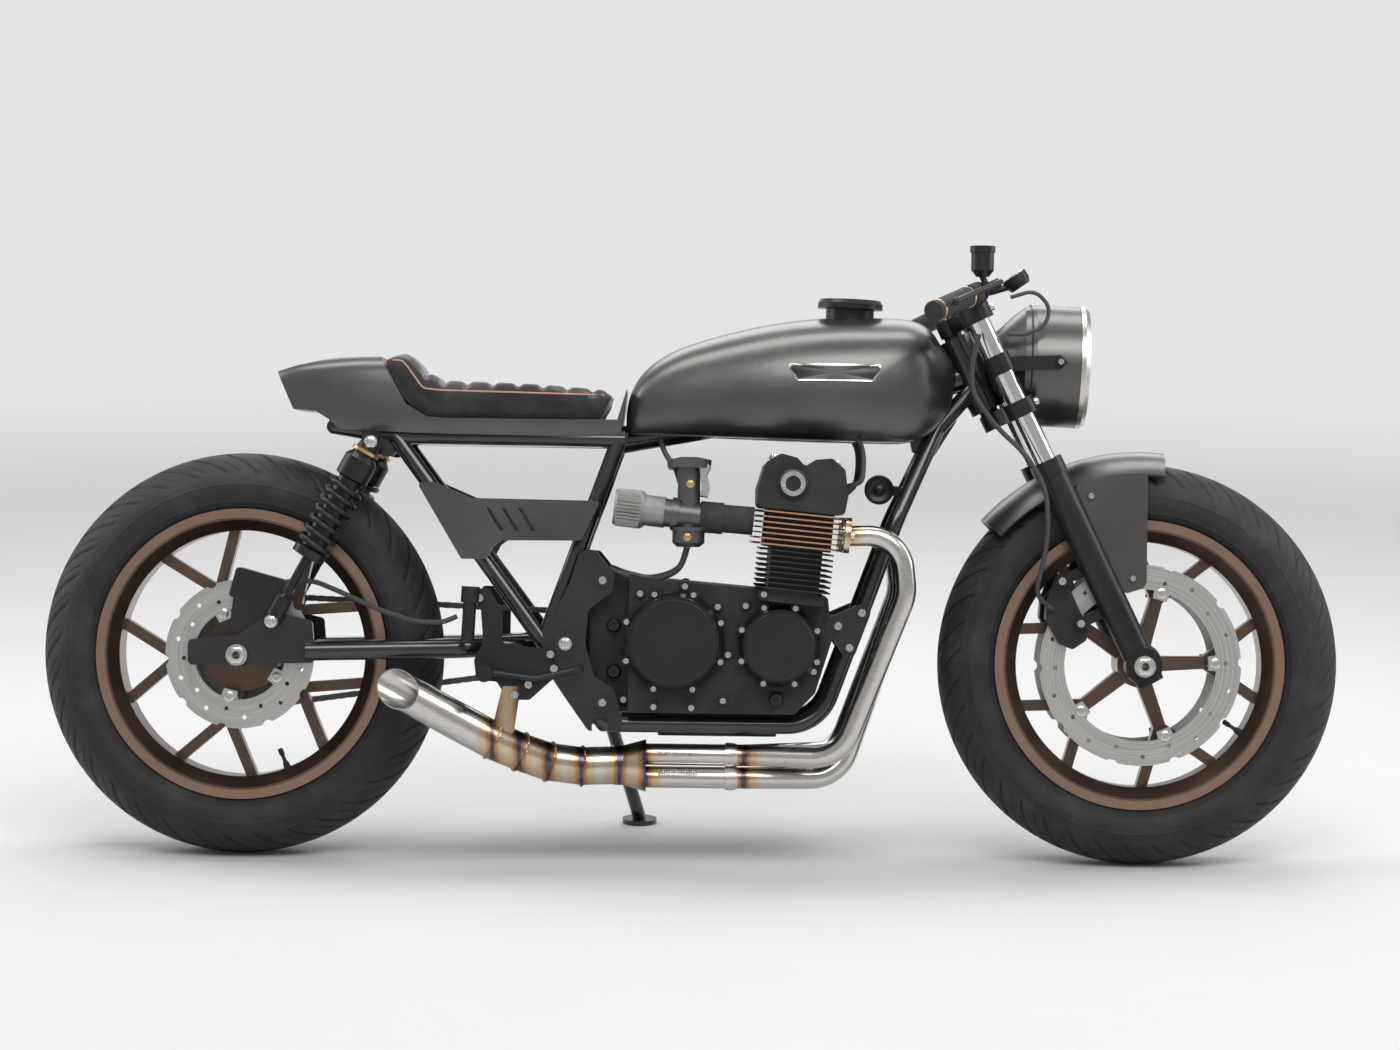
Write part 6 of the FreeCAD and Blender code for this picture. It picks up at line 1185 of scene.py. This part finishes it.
class MACHINE_OT_exhaust(bpy.types.Operator):
    """Weld beads on the pipe's segments, header clamps and the springs that hold the collector."""

    bl_idname = "machine.exhaust"
    bl_label = "Exhaust trim"

    def execute(self, context):
        corners = [side_point(x, z, -0.086 - 0.064 * out) for x, z, out in (
            (-0.0769, 0.1063, 0), (-0.1189, 0.1049, 0.12), (-0.1552, 0.1098, 0.35), (-0.1867, 0.1210, 0.62),
            (-0.2161, 0.1336, 0.85), (-0.2888, 0.1720, 1))]
        turn = once_round(240)
        bead = level(PIPE_RADIUS + 0.0005 * np.abs(np.sin(turn * 34)), turn, 0.0)
        rounds = [carried(bead, facing(middle, after - before))
                  for before, middle, after in zip(corners, corners[1:], corners[2:])]
        beads = [tube(path, WELD_RADIUS, 8) for path in rounds]
        add_piece("weld_beads", joined(beads), "stainless_tinted")
        sleeve = lathe([(0.0162, -0.010), (0.0182, -0.0096), (0.0188, -0.004), (0.0182, 0.004),
                        (0.0162, 0.0100), (0.0162, -0.010)], 32)
        spots = [facing((0.0660, y, z), (1, 0, 0)) for y in (-0.068, -0.104) for z in (0.170, 0.134)]
        add_piece("header_clamps", copies(sleeve, spots), "steel_turned")
        add_piece("collector_springs", joined([self.spring(z) for z in (0.1730, 0.1440)]), "screw_steel")
        return {"FINISHED"}

    def spring(self, z):
        """Coil along a line that bows out by the sine of its length."""
        t = np.linspace(0, 1, 220)
        wind = t * 2 * math.pi * COIL_TURNS
        bow = 0.1225 + 0.0042 * np.sin(t * math.pi)
        coil = [0.062 * t - 0.0500, COIL_RADIUS * np.cos(wind) - bow, z + COIL_RADIUS * np.sin(wind)]
        return tube(np.stack(coil, axis=-1), COIL_WIRE, 6)


class MACHINE_OT_engine(bpy.types.Operator):
    """Caps, castings' screws and pads, carburettor fittings, leads, hoses, horn and shock adjusters."""

    bl_idname = "machine.engine"
    bl_label = "Engine trim"

    def execute(self, context):
        cap = lathe([(0, 0), (0.0115, 0), (0.0115, 0.004), (0.0100, 0.006), (0.0100, 0.011),
                     (0.0085, 0.0125), (0.004, 0.0125), (0.0035, 0.0095), (0, 0.0095)], 32)
        spots = [facing(spot, RIGHT) for spot in ((-0.121, -0.1026, 0.301), (0.135, -0.1496, 0.262),
                                                  (-0.122, -0.1026, 0.374))]
        add_piece("oil_caps", copies(cap, spots), "cover_satin")
        x, y = CAM_CAP[:2]
        disc = lathe([(0.012, 0.0108), (0.0195, 0.0108), (0.0195, 0.0134), (0.012, 0.0134), (0.012, 0.0108)])
        add_piece("cam_cap_rings", copies(disc, outward([CAM_CAP])), "screw_steel", "frame",
                  CYLINDERS)
        spots = outward([round_spot(CAM_SCREW_CIRCLE, angle, y + CAM_SCREW_FOOT, x, 0.1695)
                         for angle in (90, 210, 330)])
        add_piece("cam_cap_screws", copies(socket_screw(0.0036, 0.0035, 18), spots), "screw_steel",
                  "frame", CYLINDERS)
        self.on_castings()
        self.carb_fittings()
        self.leads_and_hoses()
        self.horn()
        top = side_point(*SHOCK_TOP)
        foot = side_point(*SHOCK_FOOT)
        collar = lathe([(0.0192, 0), (0.0225, 0.001), (0.0225, 0.006), (0.0192, 0.007), (0.0192, 0)])
        spots = [facing(foot.lerp(top, 0.935) + Vector((0, side * 0.136, 0)), top - foot) for side in SIDES]
        add_piece("shock_adjusters", copies(collar, spots), "adjuster_gold")
        return {"FINISHED"}

    def on_castings(self):
        """Screws and a few raised pads, each stood where a line from the side meets the castings."""
        pad = lathe([(0, -0.006), (0.0095, -0.006), (0.0095, 0.0012), (0.0085, 0.002), (0, 0.002)], 28)
        screw = socket_screw(0.0052, 0.0055)
        pads = []
        screws = []
        for side in SIDES:
            for x, z in ((-0.0806, 0.4252), (-0.0102, 0.4373), (0.0415, 0.4059), (0.0585, 0.3308),
                         (0.0514, 0.2585), (0.0019, 0.2467), (-0.0575, 0.2475), (-0.1057, 0.2565),
                         (0.1933, 0.3061), (0.0853, 0.4080), (0.1367, 0.2584), (0.1131, 0.4269),
                         (0.1869, 0.4279)):
                spot = surface_spot(("crankcase", "case_covers", "engine_mounts"), x, z, side)
                if spot is not None:
                    pads.append(facing(spot, (0, side, 0)))
                    screws.append(facing(spot + Vector((0, side * 0.002, 0)), (0, side, 0), x * 90))
        add_piece("casting_pads", copies(pad, pads), "engine_cast")
        add_piece("casting_screws", copies(screw, screws), "screw_steel")

    def carb_fittings(self):
        """Cap screws, drain plugs and the throttle rod with its levers, on all four carburettors."""
        screws = [facing((-0.0040 + shift, y, 0.6362), (0.05, 0, 1)) for y in BORES
                  for shift in (-0.0255, 0.0255)]
        plugs = [facing((-0.0075, y, 0.5030), (0, 0, -1)) for y in BORES]
        for side in SIDES:
            for x, z in ((-0.004, 0.598), (-0.0075, 0.5150)):
                spot = surface_spot(("carburettors",), x, z, side)
                if spot is not None:
                    plugs.append(facing(spot, (0, side, 0)))
        screw = socket_screw(0.0030, 0.0032, 18)
        add_piece("carb_screws", copies(screw, screws), "screw_steel")
        add_piece("carb_plugs", copies(hex_nut(0.0052, 0.0050), plugs), "adjuster_gold")
        x, z = THROTTLE_ROD
        rod = tube(np.linspace((x, -0.190, z), (x, 0.190, z), 12), 0.0032)
        lever = plate([(-0.007, -0.006), (0.006, -0.008), (0.009, 0.006), (0.004, 0.030), (0.010, 0.040),
                       (0.002, 0.046), (-0.008, 0.038), (-0.004, 0.012)], -0.0014, 0.0014, 0.0004)
        spots = [moved(x, y, z) @ turned(90, "X") for y in (-0.1865, -0.110, 0.110)]
        add_piece("throttle_rod", joined([rod, copies(lever, spots)]), "steel_turned")

    def leads_and_hoses(self):
        """Plug leads with their boots, and breather and fuel hoses."""
        hoses = []
        boots = []
        way = Vector((0.72, 0, 0.69))
        for y in (-0.150, -0.052, 0.052, 0.150):
            start = UPRIGHT @ CYLINDERS @ Vector((0.055, y, 0.150))
            boots.append(facing(start, way))
            tip = start + way * 0.034
            corners = [tip, tip + way * 0.022, (0.262, y * 0.75, 0.668), (0.215, y * 0.35, 0.688),
                       (0.150, y * 0.2, 0.690)]
            hoses.append(tube(through(corners, 60), 0.0036, 10))
        boot = lathe([(0, 0), (0.0085, 0), (0.0085, 0.012), (0.0062, 0.014), (0.0062, 0.034),
                      (0.0046, 0.038), (0, 0.038)], 20)
        add_piece("plug_boots", copies(boot, boots), "moulded_rubber")
        for route, count, radius in (
                (((-0.1308, 0.118, 0.463), (-0.100, 0.130, 0.4525), (-0.0620, 0.142, 0.4478),
                  (-0.0220, 0.156, 0.4642), (-0.0060, 0.166, 0.5040)), 50, 0.0048),
                (((-0.020, 0.150, 0.600), (-0.028, 0.142, 0.622), (-0.045, 0.100, 0.648),
                  (-0.052, 0.060, 0.668)), 40, 0.0042)):
            hoses += [tube(through(np.array(route) * (1, side, 1), count), radius) for side in SIDES]
        add_piece("engine_hoses", joined(hoses), "hose_cover")

    def horn(self):
        """Horn shell on its strap."""
        shell = lathe([(0, -0.022), (0.014, -0.022), (0.019, -0.012), (0.0215, -0.002), (0.0235, 0),
                       (0.0235, 0.003), (0.0215, 0.004), (0.018, 0.0005), (0.010, -0.0005), (0.006, 0.003),
                       (0, 0.0035)])
        strap = plate([(0, -0.008), (0.052, -0.011), (0.052, 0.005), (0, 0.008)], -0.0015, 0.0015, 0.0004)
        x, z = HORN
        horn = joined([copies(shell, [facing((x, -0.062, z), RIGHT)]),
                       copies(strap, [moved(x, -0.042, z) @ turned(90, "X")])])
        add_piece("horn", horn, "black_satin")


class MACHINE_OT_stage(bpy.types.Operator):
    """Pale floor, soft light from above and both sides, and the camera of the photograph."""

    bl_idname = "machine.stage"
    bl_label = "Stage"

    def execute(self, context):
        self.floor(context)
        self.world(context)
        for name, place, size, power, aim in (
                ("key", (0.6, -2.6, 3.4), (4.0, 1.6), 105.0, 0.5),
                ("top", (-0.2, 0.6, 3.6), (4.4, 1.2), 80.0, 0.4),
                ("fill", (-3.2, 0.6, 1.9), (1.6, 2.2), 34.0, 0.5),
                ("nose", (3.3, 0.2, 1.9), (1.6, 2.2), 34.0, 0.5),
                ("far", (0.2, 3.2, 2.4), (3.6, 1.4), 42.0, 0.5)):
            lamp = bpy.data.lights.new(name, "AREA")
            lamp.shape = "RECTANGLE"
            lamp.size, lamp.size_y = size
            lamp.energy = power
            holder = bpy.data.objects.new(name, lamp)
            context.scene.collection.objects.link(holder)
            holder.location = place
            way = Vector((0, 0, aim)) - Vector(place)
            holder.rotation_euler = way.to_track_quat("-Z", "Y").to_euler()
        self.camera(context)
        context.scene.view_settings.view_transform = "Standard"
        return {"FINISHED"}

    def floor(self, context):
        """Flat floor that fades into the surround by its distance."""
        mesh = bpy.data.meshes.new("floor")
        corners = [(x * FLOOR_HALF, y * FLOOR_HALF, 0) for x, y in ((-1, -1), (1, -1), (1, 1), (-1, 1))]
        mesh.from_pydata(corners, [], [(0, 1, 2, 3)])
        floor = bpy.data.objects.new("floor", mesh)
        context.scene.collection.objects.link(floor)
        ground = Finish("pale_floor", {"Roughness": 0.8, "Specular IOR Level": 0.1}, Matrix.Identity(4))
        x, y = ground.axes()[:2]
        ground.feed("Base Color", ground.noise(3.0).between((0.60, 0.60, 0.60), (0.63, 0.63, 0.625)))
        near = Wire(ground.tree, ground.shader.outputs["BSDF"])
        far = ground.node("ShaderNodeEmission", {}, {"Color": PALE, "Strength": 1.0})
        away = ((x * x + y * y) ** 0.5).ramp(FADE_START, FADE_END)
        mixed = ground.node("ShaderNodeMixShader", {}, {0: away, 1: near, 2: far})
        ground.tree.links.new(mixed.socket, ground.tree.nodes["Material Output"].inputs["Surface"])
        mesh.materials.append(ground.material)

    def world(self, context):
        """Even light, and a pale surround for what the camera, gloss and glass see."""
        world = bpy.data.worlds.new("studio")
        context.scene.world = world
        world.use_nodes = True
        tree = world.node_tree
        tree.nodes.clear()
        seen, gloss, clear = [add_node(tree, "ShaderNodeLightPath", {}, {}, "Is " + ray + " Ray")
                              for ray in ("Camera", "Glossy", "Transmission")]
        light, pale, dim = [
            add_node(tree, "ShaderNodeBackground", {}, {"Color": colour, "Strength": strength})
            for colour, strength in (((1, 1, 1), 0.42), (PALE, 1.0), (PALE, 0.55))]
        mixed = add_node(tree, "ShaderNodeMixShader", {}, {0: gloss.at_least(clear), 1: light, 2: dim})
        shown = add_node(tree, "ShaderNodeMixShader", {}, {0: seen, 1: mixed, 2: pale})
        tree.links.new(shown.socket, tree.nodes.new("ShaderNodeOutputWorld").inputs["Surface"])

    def camera(self, context):
        """Square to the machine's own side, turned a little about its own line of sight."""
        eye = bpy.data.cameras.new("photo_view")
        eye.sensor_fit = "HORIZONTAL"
        eye.sensor_width = 36.0
        eye.lens = EYE_LENS
        holder = bpy.data.objects.new("photo_view", eye)
        context.scene.collection.objects.link(holder)
        ahead = TILT.to_3x3() @ LEFT
        rise = TILT.to_3x3() @ Vector((0, 0, 1))
        right = Vector((1, 0, 0))
        side = right * math.cos(EYE_ROLL) + rise * math.sin(EYE_ROLL)
        up = rise * math.cos(EYE_ROLL) - right * math.sin(EYE_ROLL)
        spot = STANDING @ Vector(EYE_AIM) - ahead * EYE_DISTANCE
        holder.matrix_world = Matrix.Translation(spot) @ Matrix((side, up, -ahead)).transposed().to_4x4()
        context.scene.camera = holder


class MACHINE_PT_dressing(bpy.types.Panel):
    """Sidebar panel with the machine's settings and pieces."""

    bl_idname = "MACHINE_PT_dressing"
    bl_label = "Machine"
    bl_space_type = "VIEW_3D"
    bl_region_type = "UI"
    bl_category = "Machine"

    def draw(self, context):
        layout = self.layout
        for group in (context.scene.machine_colours, context.scene.machine_sizes):
            for name in group.__annotations__:
                layout.prop(group, name)
        for operator in OPERATORS:
            layout.operator(operator.bl_idname)


GROUPS = (MachineColours, MachineSizes)
OPERATORS = (MACHINE_OT_stage, MACHINE_OT_finishes, MACHINE_OT_tyres, MACHINE_OT_seat, MACHINE_OT_chain,
             MACHINE_OT_fasteners, MACHINE_OT_headlight, MACHINE_OT_cockpit, MACHINE_OT_bodywork,
             MACHINE_OT_exhaust, MACHINE_OT_engine)


def register():
    """Add the classes and the scene's settings."""
    for entry in GROUPS + OPERATORS + (MACHINE_PT_dressing,):
        bpy.utils.register_class(entry)
    bpy.types.Scene.machine_colours = bpy.props.PointerProperty(type=MachineColours)
    bpy.types.Scene.machine_sizes = bpy.props.PointerProperty(type=MachineSizes)


def unregister():
    """Take the classes and settings away."""
    del bpy.types.Scene.machine_colours
    del bpy.types.Scene.machine_sizes
    for entry in reversed(GROUPS + OPERATORS + (MACHINE_PT_dressing,)):
        bpy.utils.unregister_class(entry)


def main():
    """Dress the machine piece by piece."""
    register()
    for operator in OPERATORS:
        group, name = operator.bl_idname.split(".")
        getattr(getattr(bpy.ops, group), name)()
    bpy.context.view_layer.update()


if __name__ == "__main__":
    main()
